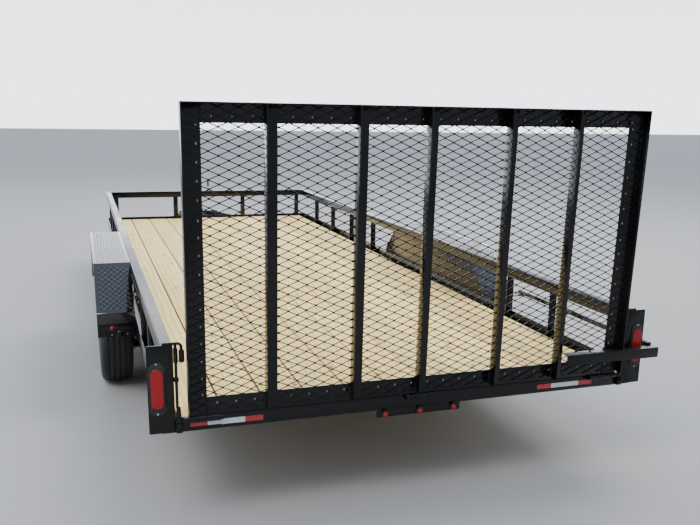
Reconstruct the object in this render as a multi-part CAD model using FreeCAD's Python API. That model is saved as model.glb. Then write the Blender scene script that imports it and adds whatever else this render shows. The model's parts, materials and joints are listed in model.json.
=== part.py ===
import FreeCAD, Part
import math
import os

# Tandem-axle utility trailer, 83 in by 20 ft bed, with a mesh ramp gate at the rear.
# Millimetres. X to the right, Y forward, Z up. While modelling, y = 0 is the rear face of the
# rear cross member and z = 0 is the floor; at the end everything moves along Y so that the
# origin is under the middle of the whole trailer.

V = FreeCAD.Vector
os.makedirs("parts", exist_ok=True)

# Bed
bed_length = 6096.0
bed_inside = 2108.0          # between the two top rails
deck_height = 470.0          # top of the boards above the floor
board_width = 184.0
board_thick = 38.0
board_least_gap = 3.0
board_side_gap = 9.5         # outer boards to the rails' inner faces
board_end_gap = 1.0

# Frame of angle irons
frame_height = 76.0          # upright leg of the side angles
frame_leg = 51.0             # lower leg, pointing inward
frame_thick = 6.0
frame_lip = 26.0             # how far the upright leg stands above the boards
rear_face_height = 62.0
cross_height = 76.0
cross_leg = 51.0
cross_thick = 5.0
cross_pitch_limit = 560.0
cross_gap = 3.0              # cross members' lower part to the hangers
cross_setback = 114.0        # first cross member ahead of the rear angle's leg

# Railing
rail_width = 51.0
rail_depth = 64.0
rail_wall = 4.0
rail_corner = 5.0
rail_top = 305.0             # above the boards
post_along = 51.0
post_across = 45.0
post_thick = 5.0
post_clear = 0.3             # front posts above the boards
post_spacing = 609.6
rear_post_rows = [665.0, 1140.0]
fore_post_count = 4
front_post_places = [-0.478, -0.178, 0.178, 0.478]    # of the bed's inside width

# Running gear
tyre_radius = 342.0
tyre_width = 188.0
tyre_clear = 8.5             # tyre to the fender's back plate
tyre_flats = 60              # facets round a tyre
wheel_flats = 40
rim_radius = 198.0           # tyre's bore
rim_clear = 0.5
rim_width = 140.0
rim_thick = 9.0
flange_height = 11.0         # wheel's rim above the tyre's bore
disc_thick = 5.0
window_count = 8
window_inner = 104.0         # radii of the openings in the wheel's disc
window_outer = 158.0
drum_radius = 127.0
drum_inner = -50.0           # brake drum's inner face from the wheel's middle
drum_gap = 6.0               # drum to its backing plate
axle_middle = 2450.0         # middle of the two axles from the rear face
axle_spacing = 840.0
axle_tube = 60.0
axle_drop = 102.0            # axle tube below the spindles
drum_depth = 80.0
hub_radius = 40.0
hub_face = 46.0              # hub's outer end from the wheel's middle
hub_bore = 16.0
cap_radius = 29.0
cap_length = 29.0
spindle_clear = 0.05
spring_width = 44.5
spring_pad = 6.0             # seat on the axle tube under the spring
leaf_thick = 7.0
leaf_count = 4
leaf_step = 0.22             # each leaf is shorter by this share of the first
spring_arch = 35.0
spring_inset = 35.0          # spring's middle from the frame's outer face
equal_span = 190.0           # between the two springs' inner eyes
equal_drop = 20.0            # equaliser's middle pin above the springs' eyes
hanger_plate = 6.0
hanger_half = 32.0
eye_radius = 17.0
pin_radius = 7.0
pin_clear = 0.4
link_half = 13.0
link_plate = 6.0
clamp_rod = 6.0              # radius of the U-bolts
clamp_plate = 8.0

# Fenders
fender_plate = 3.0
fender_reach = 209.5         # out from the frame's outer face
fender_length = 1810.0
fender_flat = 1260.0
fender_end_top = 65.0        # top of the upright ends above the boards
fender_end_bottom = -72.0
fender_bend = 14.0           # radius outside each fold
skirt_depth = 62.0

# Gate
gate_side_gap = 48.5         # gate to each rail's inner face
gate_height = 1219.0
gate_lean = 2.0              # degrees that the shut gate leans back
gate_plane = -14.0           # hinge axis behind the rear face
hinge_drop = 6.0             # hinge axis under the top of the boards
hinge_radius = 12.7
hinge_pin = 8.0
hinge_pin_clear = 0.2
hinge_lift = 13.0            # gate's bottom edge above the hinge axis
barrel_length = 60.0         # gate's barrels
lug_length = 40.0            # fixed barrels on each side of them
barrel_gap = 2.0
barrel_inset = 40.0          # outer barrels from the gate's edges
gate_leg = 76.0              # flat leg of the outer angles
gate_rear_leg = 51.0
gate_thick = 5.0
gate_lip = 40.0              # bottom angle's leg, pointing forward
gate_cope = 12.0             # rearward legs stop this far above the gate's lower edge
upright_leg = 51.0
upright_places = [0.1544, 0.3354, 0.4826, 0.6616, 0.8207]    # left edges, of the gate's width
strand_width = 4.2
strand_thick = 2.0
mesh_long = 76.2
mesh_short = 35.1
mesh_edge = 12.0             # mesh above the gate's lower edge
arm_height = 49.0
arm_leg = 40.0
arm_rise = 78.0              # lift arm above the gate's lower edge
arm_reach = 195.0            # lift arm past the gate's right edge

# Latches that hold the shut gate, one on each tail plate
latch_rod = 6.0
latch_sleeve = 9.0
latch_setback = -9.0         # rod's middle behind the rear face
latch_rise = 6.0             # rod's top bar above the rail
latch_offset = 23.0          # paddle's middle inward from the rod
latch_paddle = (22.0, 12.0, 58.0)
latch_foot = (30.0, 9.0, 112.0)

# Tongue, coupler and jack
tongue_reach = 1370.0        # front of the frame to the coupler's socket
tongue_half_angle = 25.0
tongue_height = 76.0
tongue_flange = 40.0
tongue_web = 6.0
tongue_tip = 60.0            # channels end behind the socket
tongue_tip_half = 34.0       # and this far from the middle
ball_radius = 25.9
ball_depth = 30.0
socket_wall = 15.0
socket_drop = 16.0           # socket's mouth under the tongue's top
coupler_plate = 8.0
coupler_length = 210.0
jack_setback = 330.0         # behind the socket
jack_radius = 28.5
jack_wall = 3.0
jack_length = 430.0
jack_drop = 150.0            # tube's lower end under the tongue's top
jack_plate = 9.0
jack_head = 36.0
leg_clear = 0.3
foot_radius = 75.0
foot_thick = 8.0
crank_reach = 150.0
crank_grip = 90.0

# Lamps
tail_plate_width = 102.0
tail_plate_height = 362.0
tail_plate_thick = 5.0
tail_plate_reach = 51.0      # plate's outer edge from the rail's outer face
lamp_inset = 39.0            # tail lamp's middle from the plate's outer edge
lamp_height = 136.0          # its middle above the boards
tail_lamp_height = 165.0
tail_lamp_width = 55.0
lamp_ring = 5.5              # rubber ring round the lens
lamp_hole_clear = 0.3
lamp_post_gap = 1.0          # tail lamp's back to the rear post
id_bar_half = 198.0
id_bar_height = 34.0
id_lamp_places = [-163.0, 0.0, 163.0]
id_lamp_radius = 11.0
marker_radius = 11.0
marker_height = 12.0         # lamp's middle above the boards
marker_inset = 57.0          # from the fender's outer face

inner_half = bed_inside / 2
outer_half = inner_half + rail_width
deck_z = deck_height
board_low = deck_z - board_thick
frame_top = deck_z + frame_lip
frame_low = frame_top - frame_height
rail_top_z = deck_z + rail_top
rail_low_z = rail_top_z - rail_depth
cross_low = board_low - cross_height
heel_x = outer_half - frame_thick        # inner face of the side angles


def block(x0, x1, y0, y1, z0, z1):
    return Part.makeBox(x1 - x0, y1 - y0, z1 - z0, V(x0, y0, z0))


def turned(radius, length, point, direction):
    return Part.makeCylinder(radius, length, V(*point), V(*direction))


def filled(points):
    return Part.Face(Part.makePolygon(points + points[:1]))


def plate_x(outline, x0, x1):
    # A flat outline given in (y, z), as thick as x0 to x1.
    return filled([V(x0, y, z) for y, z in outline]).extrude(V(x1 - x0, 0, 0))


def plate_y(outline, y0, y1):
    return filled([V(x, y0, z) for x, z in outline]).extrude(V(0, y1 - y0, 0))


def plate_z(outline, z0, z1):
    return filled([V(x, y, z0) for x, y in outline]).extrude(V(0, 0, z1 - z0))


def mirrored(shape):
    return shape.mirror(V(0, 0, 0), V(1, 0, 0))


def joined(shapes):
    whole = shapes[0]
    if len(shapes) > 1:
        whole = shapes[0].fuse(shapes[1:])
    return whole.removeSplitter()


def many_sided(radius, sides, middle):
    # Corners of a regular outline round a middle point.
    turns = [2 * math.pi * (i + 0.5) / sides for i in range(sides)]
    return [(middle[0] + radius * math.cos(turn), middle[1] + radius * math.sin(turn)) for turn in turns]


def pin_x(radius, x0, x1, y, z, sides=12):
    return plate_x(many_sided(radius, sides, (y, z)), x0, x1)


def pin_z(radius, z0, z1, x, y, sides=12):
    return plate_z(many_sided(radius, sides, (x, y)), z0, z1)


def cut_corners(a0, a1, b0, b1, corner):
    # A rectangle's outline with its corners taken off.
    return [(a0 + corner, b0), (a1 - corner, b0), (a1, b0 + corner), (a1, b1 - corner), (a1 - corner, b1),
            (a0 + corner, b1), (a0, b1 - corner), (a0, b0 + corner)]


def angle_iron(heel, leg_a, leg_b, thick, run):
    # Two legs leave the heel, as vectors with their lengths, and run draws the section out.
    heel, leg_a, leg_b = V(*heel), V(*leg_a), V(*leg_b)
    along = leg_a * (1 / leg_a.Length)
    across = leg_b * (1 / leg_b.Length)
    section = [(0, 0), (leg_a.Length, 0), (leg_a.Length, thick), (thick, thick), (thick, leg_b.Length),
               (0, leg_b.Length)]
    return filled([heel + along * s + across * t for s, t in section]).extrude(V(*run))


nodes = {}


def add(name, *shapes):
    nodes[name] = shapes[0] if len(shapes) == 1 else Part.makeCompound(list(shapes))


def both_sides(name, *right):
    add(name + "_right", *right)
    add(name + "_left", *[mirrored(shape) for shape in right])


# Frame: angle irons all round, cross members between the side angles
def build_frame():
    side_run = (0, bed_length - frame_thick, 0)
    side = angle_iron((outer_half, frame_thick, frame_low), (0, 0, frame_height), (-frame_leg, 0, 0),
                      frame_thick, side_run)
    both_sides("frame_side", side)

    rear_low = deck_z - rear_face_height
    rear_half = heel_x - frame_leg
    face = block(-outer_half, outer_half, 0, frame_thick, rear_low, deck_z)
    foot = angle_iron((-rear_half, 0, rear_low), (0, 0, rear_face_height), (0, frame_leg, 0), frame_thick,
                      (2 * rear_half, 0, 0))
    add("frame_rear", joined([face, foot]))

    web_low = frame_low + frame_thick
    front_half = heel_x
    web = block(-front_half, front_half, bed_length - frame_thick, bed_length, web_low, frame_top)
    leg_half = heel_x - frame_leg
    leg = angle_iron((-leg_half, bed_length, web_low), (0, 0, frame_top - web_low), (0, -frame_leg, 0),
                     frame_thick, (2 * leg_half, 0, 0))
    add("frame_front", joined([web, leg]))


first_cross = frame_leg + cross_setback
cross_count = math.ceil((bed_length - first_cross) / cross_pitch_limit)
cross_pitch = (bed_length - first_cross) / cross_count
cross_rows = [first_cross + cross_pitch * i for i in range(cross_count)]
spring_x = outer_half - spring_inset
hanger_gap = spring_width / 2 + 1.0
hanger_inner = spring_x - hanger_gap - hanger_plate


def cross_member(y):
    # Its ends meet the side angles' lower legs, and its lower part stops short of the hangers.
    half = outer_half - frame_leg
    bar = angle_iron((-half, y, board_low), (0, 0, -cross_height), (0, cross_leg, 0), cross_thick,
                     (2 * half, 0, 0))
    for side in (-1, 1):
        ends = sorted((side * (hanger_inner - cross_gap), side * (half + 1)))
        bar = bar.cut(block(ends[0], ends[1], y - 1, y + cross_leg + 1, cross_low - 1, frame_low))
    return bar


def build_boards():
    space = bed_inside - 2 * board_side_gap
    count = int((space + board_least_gap) / (board_width + board_least_gap))
    gap = (space - count * board_width) / (count - 1)
    start = frame_thick + board_end_gap
    end = bed_length - frame_thick - board_end_gap
    boards = []
    for i in range(count):
        x = -space / 2 + i * (board_width + gap)
        boards.append(block(x, x + board_width, start, end, board_low, deck_z))
    add("deck_boards", *boards)


# Railing
def rail_tube(make_plate, a0, a1, start, end):
    # make_plate draws an outline in (across, z) from start to end.
    outer = make_plate(cut_corners(a0, a1, rail_low_z, rail_top_z, rail_corner), start, end)
    hollow = cut_corners(a0 + rail_wall, a1 - rail_wall, rail_low_z + rail_wall, rail_top_z - rail_wall,
                         rail_corner / 2)
    return outer.cut(make_plate(hollow, start + rail_wall, end - rail_wall))


def side_post(y):
    return angle_iron((heel_x, y, frame_low + frame_thick), (-post_across, 0, 0), (0, post_along, 0),
                      post_thick, (0, 0, rail_low_z - frame_low - frame_thick))


def front_post(x):
    heel = (x - post_along / 2, bed_length - frame_thick, deck_z + post_clear)
    return angle_iron(heel, (post_along, 0, 0), (0, -post_across, 0), post_thick,
                      (0, 0, rail_low_z - deck_z - post_clear))


def build_railing():
    both_sides("top_rail", rail_tube(plate_y, inner_half, outer_half, 0, bed_length))
    add("top_rail_front", rail_tube(plate_x, bed_length - rail_width, bed_length, -inner_half, inner_half))
    rear_rows = [frame_thick] + rear_post_rows
    fore_rows = [bed_length - post_along - post_spacing * (k + 1) for k in range(fore_post_count)]
    both_sides("rear_posts", *[side_post(y) for y in rear_rows])
    both_sides("fore_posts", *[side_post(y) for y in fore_rows])
    add("front_posts", *[front_post(share * bed_inside) for share in front_post_places])


# Wheels. Each turns about X with its middle at the origin until it is placed.
wheel_x = outer_half + fender_plate + tyre_clear + tyre_width / 2
axle_z = tyre_radius
axle_rows = {"rear": axle_middle - axle_spacing / 2, "front": axle_middle + axle_spacing / 2}


def faceted_ring(section, flats):
    # A closed section in (x, radius), turned about the X axis in flat facets.
    def corner(point, k):
        turn = 2 * math.pi * k / flats
        return V(point[0], point[1] * math.sin(turn), point[1] * math.cos(turn))
    faces = []
    for k in range(flats):
        for i, here in enumerate(section):
            there = section[(i + 1) % len(section)]
            strip = [corner(here, k), corner(there, k), corner(there, k + 1), corner(here, k + 1)]
            faces.append(filled(strip))
    ring = Part.makeSolid(Part.makeShell(faces))
    if ring.Volume < 0:
        ring.reverse()
    return ring


def both_ways(half_section):
    # A section given on one side of the wheel's middle, closed by its mirror image.
    return half_section + [(-x, r) for x, r in reversed(half_section)]


def make_tyre():
    half = tyre_width / 2
    wall = tyre_radius - rim_radius
    # x, radius: from the tread's edge over the shoulder and down the side wall to the bead
    section = [(0.76 * half, tyre_radius), (0.93 * half, tyre_radius - 0.1 * wall),
               (half, tyre_radius - 0.45 * wall), (0.95 * half, rim_radius + 0.32 * wall),
               (rim_width / 2 + 5, rim_radius + 0.08 * wall), (rim_width / 2, rim_radius)]
    return faceted_ring(both_ways(section), tyre_flats)


def make_rim():
    seat = rim_radius - rim_clear
    lip = rim_radius + flange_height
    half = rim_width / 2
    # x, radius: tyre's seat, flange, and back under it to the inside of the barrel
    section = [(half, seat), (half + 6, lip), (half + 10, lip), (half + 4, seat - rim_thick)]
    return faceted_ring(both_ways(section), wheel_flats)


def make_disc():
    edge = rim_radius - rim_clear - rim_thick + 2
    # x, radius: a shallow dish, out to the rim and in to the hub's face
    front = [(16, edge), (30, edge - 24), (24, window_inner - 12), (34, window_inner - 26),
             (34, hub_radius - 8)]
    back = [(x - disc_thick, r) for x, r in reversed(front)]
    disc = faceted_ring(front + back, wheel_flats)
    middle = (window_inner + window_outer) / 2
    deep = (window_outer - window_inner) / 2
    near, far = 0.24 * window_inner, 0.26 * window_outer
    opening = [(-near, middle - deep + 8), (-near + 10, middle - deep), (near - 10, middle - deep),
               (near, middle - deep + 8), (far, middle + deep - 10), (far - 12, middle + deep),
               (12 - far, middle + deep), (-far, middle + deep - 10)]
    cutter = plate_x(opening, 0, 60)
    for i in range(window_count):
        turned_cutter = cutter.rotated(V(0, 0, 0), V(1, 0, 0), 360 * (i + 0.5) / window_count)
        disc = disc.cut(turned_cutter)
    return disc


def make_hub():
    # Drum, hub and grease cap; the bore is blind and takes the spindle.
    front = drum_inner + drum_depth
    # x, radius: round the drum's wall and its front
    drum = faceted_ring([(drum_inner, drum_radius), (front - 12, drum_radius), (front, drum_radius - 14),
                         (front, hub_radius - 6), (front - 8, hub_radius - 6), (front - 8, drum_radius - 10),
                         (drum_inner, drum_radius - 8)], 24)
    hub = turned(hub_radius, hub_face - drum_inner, (drum_inner, 0, 0), (1, 0, 0))
    cap = turned(cap_radius, cap_length + 1, (hub_face - 1, 0, 0), (1, 0, 0))
    crown = Part.makeCone(cap_radius, cap_radius - 6, 5.0, V(hub_face + cap_length, 0, 0), V(1, 0, 0))
    bore = turned(hub_bore, hub_face + cap_length - 8 - drum_inner, (drum_inner - 1, 0, 0), (1, 0, 0))
    return [drum, joined([hub, cap, crown]).cut(bore)]


def build_wheels():
    tyre = make_tyre()
    wheel = joined([make_rim(), make_disc()] + make_hub())
    for side, side_name in ((1, "right"), (-1, "left")):
        for row, y in axle_rows.items():
            place = V(side * wheel_x, y, axle_z)
            for kind, shape in (("tyre", tyre), ("wheel", wheel)):
                turned_out = shape if side > 0 else mirrored(shape)
                add("%s_%s_%s" % (kind, row, side_name), turned_out.translated(place))


# Axles, springs, hangers and equalisers
beam_z = axle_z - axle_drop
spring_low = beam_z + axle_tube / 2 + spring_pad
spring_top = spring_low + leaf_count * leaf_thick
spring_length = axle_spacing - equal_span
spring_half = spring_length / 2
pins_z = spring_top + spring_arch + leaf_thick
spring_in = spring_x - spring_width / 2
spring_out = spring_x + spring_width / 2
riser_in = spring_out + 5.0
riser_out = riser_in + 44.0
backing_x = wheel_x + drum_inner - drum_gap


def axle(y):
    beam_half = riser_out - 4.0
    beam = turned(axle_tube / 2, 2 * beam_half, (-beam_half, y, beam_z), (1, 0, 0))
    foot = axle_tube / 2
    # A forged riser: wide on the tube, narrower at the spindle
    riser = plate_x([(y - foot, beam_z - 18), (y - 16, beam_z - foot), (y + 16, beam_z - foot),
                     (y + foot, beam_z - 18), (y + foot, beam_z + foot), (y + 24, axle_z + 12),
                     (y + 12, axle_z + 26), (y - 12, axle_z + 26), (y - 24, axle_z + 12),
                     (y - foot, beam_z + foot)], riser_in, riser_out)
    spindle_end = wheel_x + hub_face + cap_length - 12
    spindle = turned(hub_bore - spindle_clear, spindle_end - riser_out, (riser_out, y, axle_z), (1, 0, 0))
    backing = pin_x(drum_radius + 4, backing_x - 5, backing_x, y, axle_z, 36)
    collar = turned(hub_radius - 10, backing_x - riser_out + 1, (riser_out - 1, y, axle_z), (1, 0, 0))
    pad = block(spring_in, spring_out, y - 50, y + 50, beam_z, spring_low)
    end = joined([riser, spindle, collar, backing, pad])
    return joined([beam, end, mirrored(end)])


def leaf_spring(y):
    # One pack of leaves, each shorter than the one above, bowed along arcs.
    bow = (spring_half ** 2 + spring_arch ** 2) / (2 * spring_arch)
    centre = (spring_in, y, spring_top + bow)
    shapes = []
    for i in range(leaf_count):
        reach = spring_half * (1 - leaf_step * i)
        inner = bow + leaf_thick * i
        ring = turned(inner + leaf_thick, spring_width, centre, (1, 0, 0))
        ring = ring.cut(turned(inner, spring_width, centre, (1, 0, 0)))
        keep = block(spring_in - 1, spring_out + 1, y - reach, y + reach, spring_low - 5,
                     spring_top + spring_arch + 12)
        shapes.append(ring.common(keep))
    for side in (-1, 1):
        shapes.append(pin_x(eye_radius, spring_in, spring_out, y + side * spring_half, pins_z, 16))
    pack = joined(shapes)
    for side in (-1, 1):
        pack = pack.cut(pin_x(pin_radius + pin_clear, spring_in - 1, spring_out + 1, y + side * spring_half,
                              pins_z))
    return pack


def hanger(y, pin_z_at):
    # Two tapered ears, a top plate under the side angle, and the pin through the ears.
    low = pin_z_at - 20
    ear = [(y - hanger_half, frame_low - hanger_plate), (y - 18, low), (y + 18, low),
           (y + hanger_half, frame_low - hanger_plate)]
    far = hanger_gap + hanger_plate
    ears = [plate_x(ear, spring_x - far, spring_x - hanger_gap),
            plate_x(ear, spring_x + hanger_gap, spring_x + far)]
    top = block(spring_x - far, spring_x + far, y - hanger_half, y + hanger_half, frame_low - hanger_plate,
                frame_low)
    pin = pin_x(pin_radius, spring_x - far - 6, spring_x + far + 6, y, pin_z_at)
    return joined(ears + [top, pin])


def link(y0, z0, y1, z1, x0, x1):
    # A flat strap with cut corners round two pins.
    length = math.hypot(y1 - y0, z1 - z0)
    uy, uz = (y1 - y0) / length, (z1 - z0) / length
    half, cut = link_half, link_half * 0.4
    flat = [(-half, -cut), (-cut, -half), (length + cut, -half), (length + half, -cut), (length + half, cut),
            (length + cut, half), (-cut, half), (-half, cut)]
    return plate_x([(y0 + uy * s - uz * t, z0 + uz * s + uy * t) for s, t in flat], x0, x1)


def equaliser():
    # A rocker on the middle hanger's pin, with two straps down to each spring's eye.
    half = equal_span / 2
    top = pins_z + equal_drop
    rocker = [(axle_middle - half + 20, top - 18), (axle_middle + half - 20, top - 18),
              (axle_middle + half - 20, top + 8), (axle_middle + 20, top + 20), (axle_middle - 20, top + 20),
              (axle_middle - half + 20, top + 8)]
    body = plate_x(rocker, spring_in, spring_out)
    body = body.cut(pin_x(pin_radius + pin_clear, spring_in - 1, spring_out + 1, axle_middle, top))
    upper = (axle_middle + half - 36, top - 4)
    lower = (axle_middle + half, pins_z)
    front_half = []
    for x0 in (spring_in - 1 - link_plate, spring_out + 1):
        front_half.append(link(upper[0], upper[1], lower[0], lower[1], x0, x0 + link_plate))
    for y, z in (upper, lower):
        front_half.append(pin_x(pin_radius, spring_in - 13, spring_out + 13, y, z))
    front_half = joined(front_half)
    rear_half = front_half.mirror(V(0, axle_middle, 0), V(0, 1, 0))
    return joined([body, front_half, rear_half])


def spring_clamp(y):
    # Two U-bolts over the spring and a plate under the axle tube.
    low = beam_z - axle_tube / 2
    reach = spring_width / 2 + clamp_rod + 0.5
    bar_z = spring_top + clamp_rod + 0.8
    shapes = [block(spring_x - reach - 9, spring_x + reach + 9, y - 50, y + 50, low - clamp_plate, low)]
    for along in (-axle_tube / 2 - clamp_rod - 1, axle_tube / 2 + clamp_rod + 1):
        for x in (spring_x - reach, spring_x + reach):
            shapes.append(pin_z(clamp_rod, low - clamp_plate - 16, bar_z, x, y + along, 8))
        shapes.append(pin_x(clamp_rod, spring_x - reach - clamp_rod, spring_x + reach + clamp_rod, y + along,
                            bar_z, 8))
    return joined(shapes)


def build_running_gear():
    for row, y in axle_rows.items():
        add("axle_" + row, axle(y))
    rows = list(axle_rows.values())
    both_sides("springs", *[leaf_spring(y) for y in rows])
    hangers = [hanger(rows[0] - spring_half, pins_z), hanger(rows[1] + spring_half, pins_z),
               hanger(axle_middle, pins_z + equal_drop)]
    both_sides("spring_hangers", *hangers)
    both_sides("equaliser", equaliser())
    clamps = [spring_clamp(y) for y in rows]
    add("spring_clamps", *clamps, *[mirrored(shape) for shape in clamps])


# Fenders: folded tread plate over both wheels, closed against the frame by a back plate
fender_rear = axle_middle - fender_length / 2
fender_front = axle_middle + fender_length / 2
fender_out = outer_half + fender_reach
fender_low = deck_z + fender_end_bottom


def fender_corners(inset):
    # (y, z) from the rear end's foot, over the folds, to the front end's foot
    end_top = deck_z + fender_end_top - inset * 0.42
    flat_half = fender_flat / 2 - inset * 0.42
    return [(fender_rear + inset, fender_low), (fender_rear + inset, end_top),
            (axle_middle - flat_half, rail_top_z - inset), (axle_middle + flat_half, rail_top_z - inset),
            (fender_front - inset, end_top), (fender_front - inset, fender_low)]


def folded_face(corners, bend, x):
    # The outline with an arc at each fold; the two feet stay square.
    points = [V(x, y, z) for y, z in corners]
    edges = []
    last = points[0]
    for i in range(1, len(points) - 1):
        back = points[i - 1] - points[i]
        ahead = points[i + 1] - points[i]
        back = back * (1 / back.Length)
        ahead = ahead * (1 / ahead.Length)
        half_turn = (math.pi - math.acos(back.dot(ahead))) / 2
        reach = bend * math.tan(half_turn)
        start = points[i] + back * reach
        end = points[i] + ahead * reach
        inward = back + ahead
        inward = inward * (1 / inward.Length)
        middle = points[i] + inward * (bend / math.cos(half_turn) - bend)
        edges.append(Part.makeLine(last, start))
        edges.append(Part.Arc(start, middle, end).toShape())
        last = end
    edges.append(Part.makeLine(last, points[-1]))
    edges.append(Part.makeLine(points[-1], points[0]))
    return Part.Face(Part.Wire(edges))


def folded_ring(depth, x0, x1):
    outer = folded_face(fender_corners(0), fender_bend, x0).extrude(V(x1 - x0, 0, 0))
    inner = fender_corners(depth)
    inner[0] = (inner[0][0], fender_low - 1)
    inner[-1] = (inner[-1][0], fender_low - 1)
    inner_bend = fender_bend - fender_plate
    return outer.cut(folded_face(inner, inner_bend, x0 - 1).extrude(V(x1 - x0 + 2, 0, 0)))


def build_fenders():
    skin = folded_ring(fender_plate, outer_half, fender_out)
    skirt = folded_ring(skirt_depth, fender_out - fender_plate, fender_out)
    both_sides("fender", joined([skin, skirt]))
    bend = fender_bend - fender_plate
    back = folded_face(fender_corners(fender_plate), bend, outer_half).extrude(V(fender_plate, 0, 0))
    both_sides("fender_back", back)


# Lamps and their plates
plate_out = outer_half + tail_plate_reach
plate_in = plate_out - tail_plate_width
lamp_x = plate_out - lamp_inset
lamp_z = deck_z + lamp_height


def oval_y(width, height, y0, y1):
    r = width / 2
    low = turned(r, y1 - y0, (lamp_x, y0, lamp_z - height / 2 + r), (0, 1, 0))
    high = turned(r, y1 - y0, (lamp_x, y0, lamp_z + height / 2 - r), (0, 1, 0))
    middle = block(lamp_x - r, lamp_x + r, y0, y1, lamp_z - height / 2 + r, lamp_z + height / 2 - r)
    return joined([low, high, middle])


def build_lamps():
    ring = 2 * lamp_ring
    room = ring + 2 * lamp_hole_clear
    hole = oval_y(tail_lamp_width + room, tail_lamp_height + room, -tail_plate_thick - 1, 1)
    plate_low = rail_top_z - tail_plate_height
    plate = plate_y(cut_corners(plate_in, plate_out, plate_low, rail_top_z, 3.0), -tail_plate_thick, 0)
    both_sides("tail_plate", plate.cut(hole))
    body = oval_y(tail_lamp_width + ring, tail_lamp_height + ring, -8, frame_thick - lamp_post_gap)
    lens = oval_y(tail_lamp_width, tail_lamp_height, -13, -7)
    lamp = joined([body, lens])
    add("tail_lamps", lamp, mirrored(lamp))

    bar_top = deck_z - rear_face_height
    bar = block(-id_bar_half, id_bar_half, 2, frame_thick, bar_top - id_bar_height, bar_top)
    lamps = [turned(id_lamp_radius, 14.0, (x, -12, bar_top - id_bar_height / 2), (0, 1, 0))
             for x in id_lamp_places]
    add("id_lamp_bar", joined([bar] + lamps))

    markers = []
    x = fender_out - marker_inset
    z = deck_z + marker_height
    for y, outward in ((fender_rear, -1), (fender_front, 1)):
        base = plate_y(many_sided(marker_radius + 3, 16, (x, z)), y, y + outward * 4)
        dome = plate_y(many_sided(marker_radius, 16, (x, z)), y, y + outward * 12)
        markers.append(joined([base, dome]))
    add("marker_lamps", *markers, *[mirrored(shape) for shape in markers])


# Gate, built upright with its hinge axis at (y = gate_plane, z = hinge_z), then leaned back
gate_width = bed_inside - 2 * gate_side_gap
gate_half = gate_width / 2
hinge_z = deck_z - hinge_drop
gate_low = hinge_z + hinge_lift
gate_top = gate_low + gate_height
face_y = gate_plane + gate_thick / 2       # front of the flat legs
mesh_y = gate_plane - gate_thick / 2       # rear of the flat legs, where the mesh lies
rear_y = face_y - gate_rear_leg
upright_x = [-gate_half + share * gate_width for share in upright_places]


def leaned(shape):
    return shape.rotated(V(0, gate_plane, hinge_z), V(1, 0, 0), gate_lean)


def build_gate_frame():
    flat = block(gate_half - gate_leg, gate_half, mesh_y, face_y, gate_low, gate_top)
    bend = angle_iron((gate_half, face_y, gate_low + gate_cope), (-gate_leg, 0, 0), (0, -gate_rear_leg, 0),
                      gate_thick, (0, 0, gate_top - gate_low - gate_cope))
    side = joined([flat, bend])
    add("gate_side_right", leaned(side))
    add("gate_side_left", leaned(mirrored(side)))

    flat_half = gate_half - gate_leg
    back_half = gate_half - gate_thick
    top_flat = block(-flat_half, flat_half, mesh_y, face_y, gate_top - gate_leg, gate_top)
    top_back = block(-back_half, back_half, rear_y, mesh_y, gate_top - gate_thick, gate_top)
    add("gate_top", leaned(joined([top_flat, top_back])))
    bottom = angle_iron((-flat_half, mesh_y, gate_low), (0, 0, gate_leg), (0, gate_lip + gate_thick, 0),
                        gate_thick, (2 * flat_half, 0, 0))
    add("gate_bottom", leaned(bottom))

    upright_face = mesh_y - 2 * strand_thick
    uprights = []
    for x in upright_x:
        heel = (x, upright_face, gate_low + gate_cope)
        uprights.append(leaned(angle_iron(heel, (upright_leg, 0, 0), (0, -upright_leg, 0), gate_thick,
                                          (0, 0, gate_height - gate_cope - gate_thick))))
    add("gate_uprights", *uprights)


def strands(slope_sign, y0, y1):
    # Parallel strands of the expanded metal that run one way across the gate.
    x0, x1 = -gate_half + gate_thick + 1, gate_half - gate_thick - 1
    z0, z1 = gate_low + mesh_edge, gate_top - gate_thick - 1
    slope = slope_sign * mesh_short / mesh_long
    tall = strand_width / math.cos(math.atan(slope))
    window = block(x0, x1, y0 - 1, y1 + 1, z0, z1)
    rise = (x1 - x0) * slope
    count = int((z1 - z0 + abs(rise)) / mesh_short) + 2
    start = z0 - max(rise, 0)
    out = []
    for i in range(count):
        z = start + i * mesh_short
        outline = [(x0, z), (x1, z + rise), (x1, z + rise + tall), (x0, z + tall)]
        strand = plate_y(outline, y0, y1).common(window)
        if strand.Volume > strand_width * strand_thick * 20:
            out.append(leaned(strand))
    return out


def build_gate_mesh():
    add("gate_mesh_rising", *strands(1, mesh_y - strand_thick, mesh_y))
    add("gate_mesh_falling", *strands(-1, mesh_y - 2 * strand_thick, mesh_y - strand_thick))


def build_lift_arm():
    low = gate_low + arm_rise
    x0 = upright_x[-1] + upright_leg + 2
    x1 = gate_half + arm_reach
    heel = (x0, rear_y - gate_thick, low + arm_height)
    arm = angle_iron(heel, (0, 0, -arm_height), (0, arm_leg + gate_thick, 0), gate_thick, (x1 - x0, 0, 0))
    notch = block(gate_half - gate_thick - 1, gate_half + 0.5, rear_y, rear_y + 60, low, low + 60)
    add("lift_arm", leaned(arm.cut(notch)))


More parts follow.
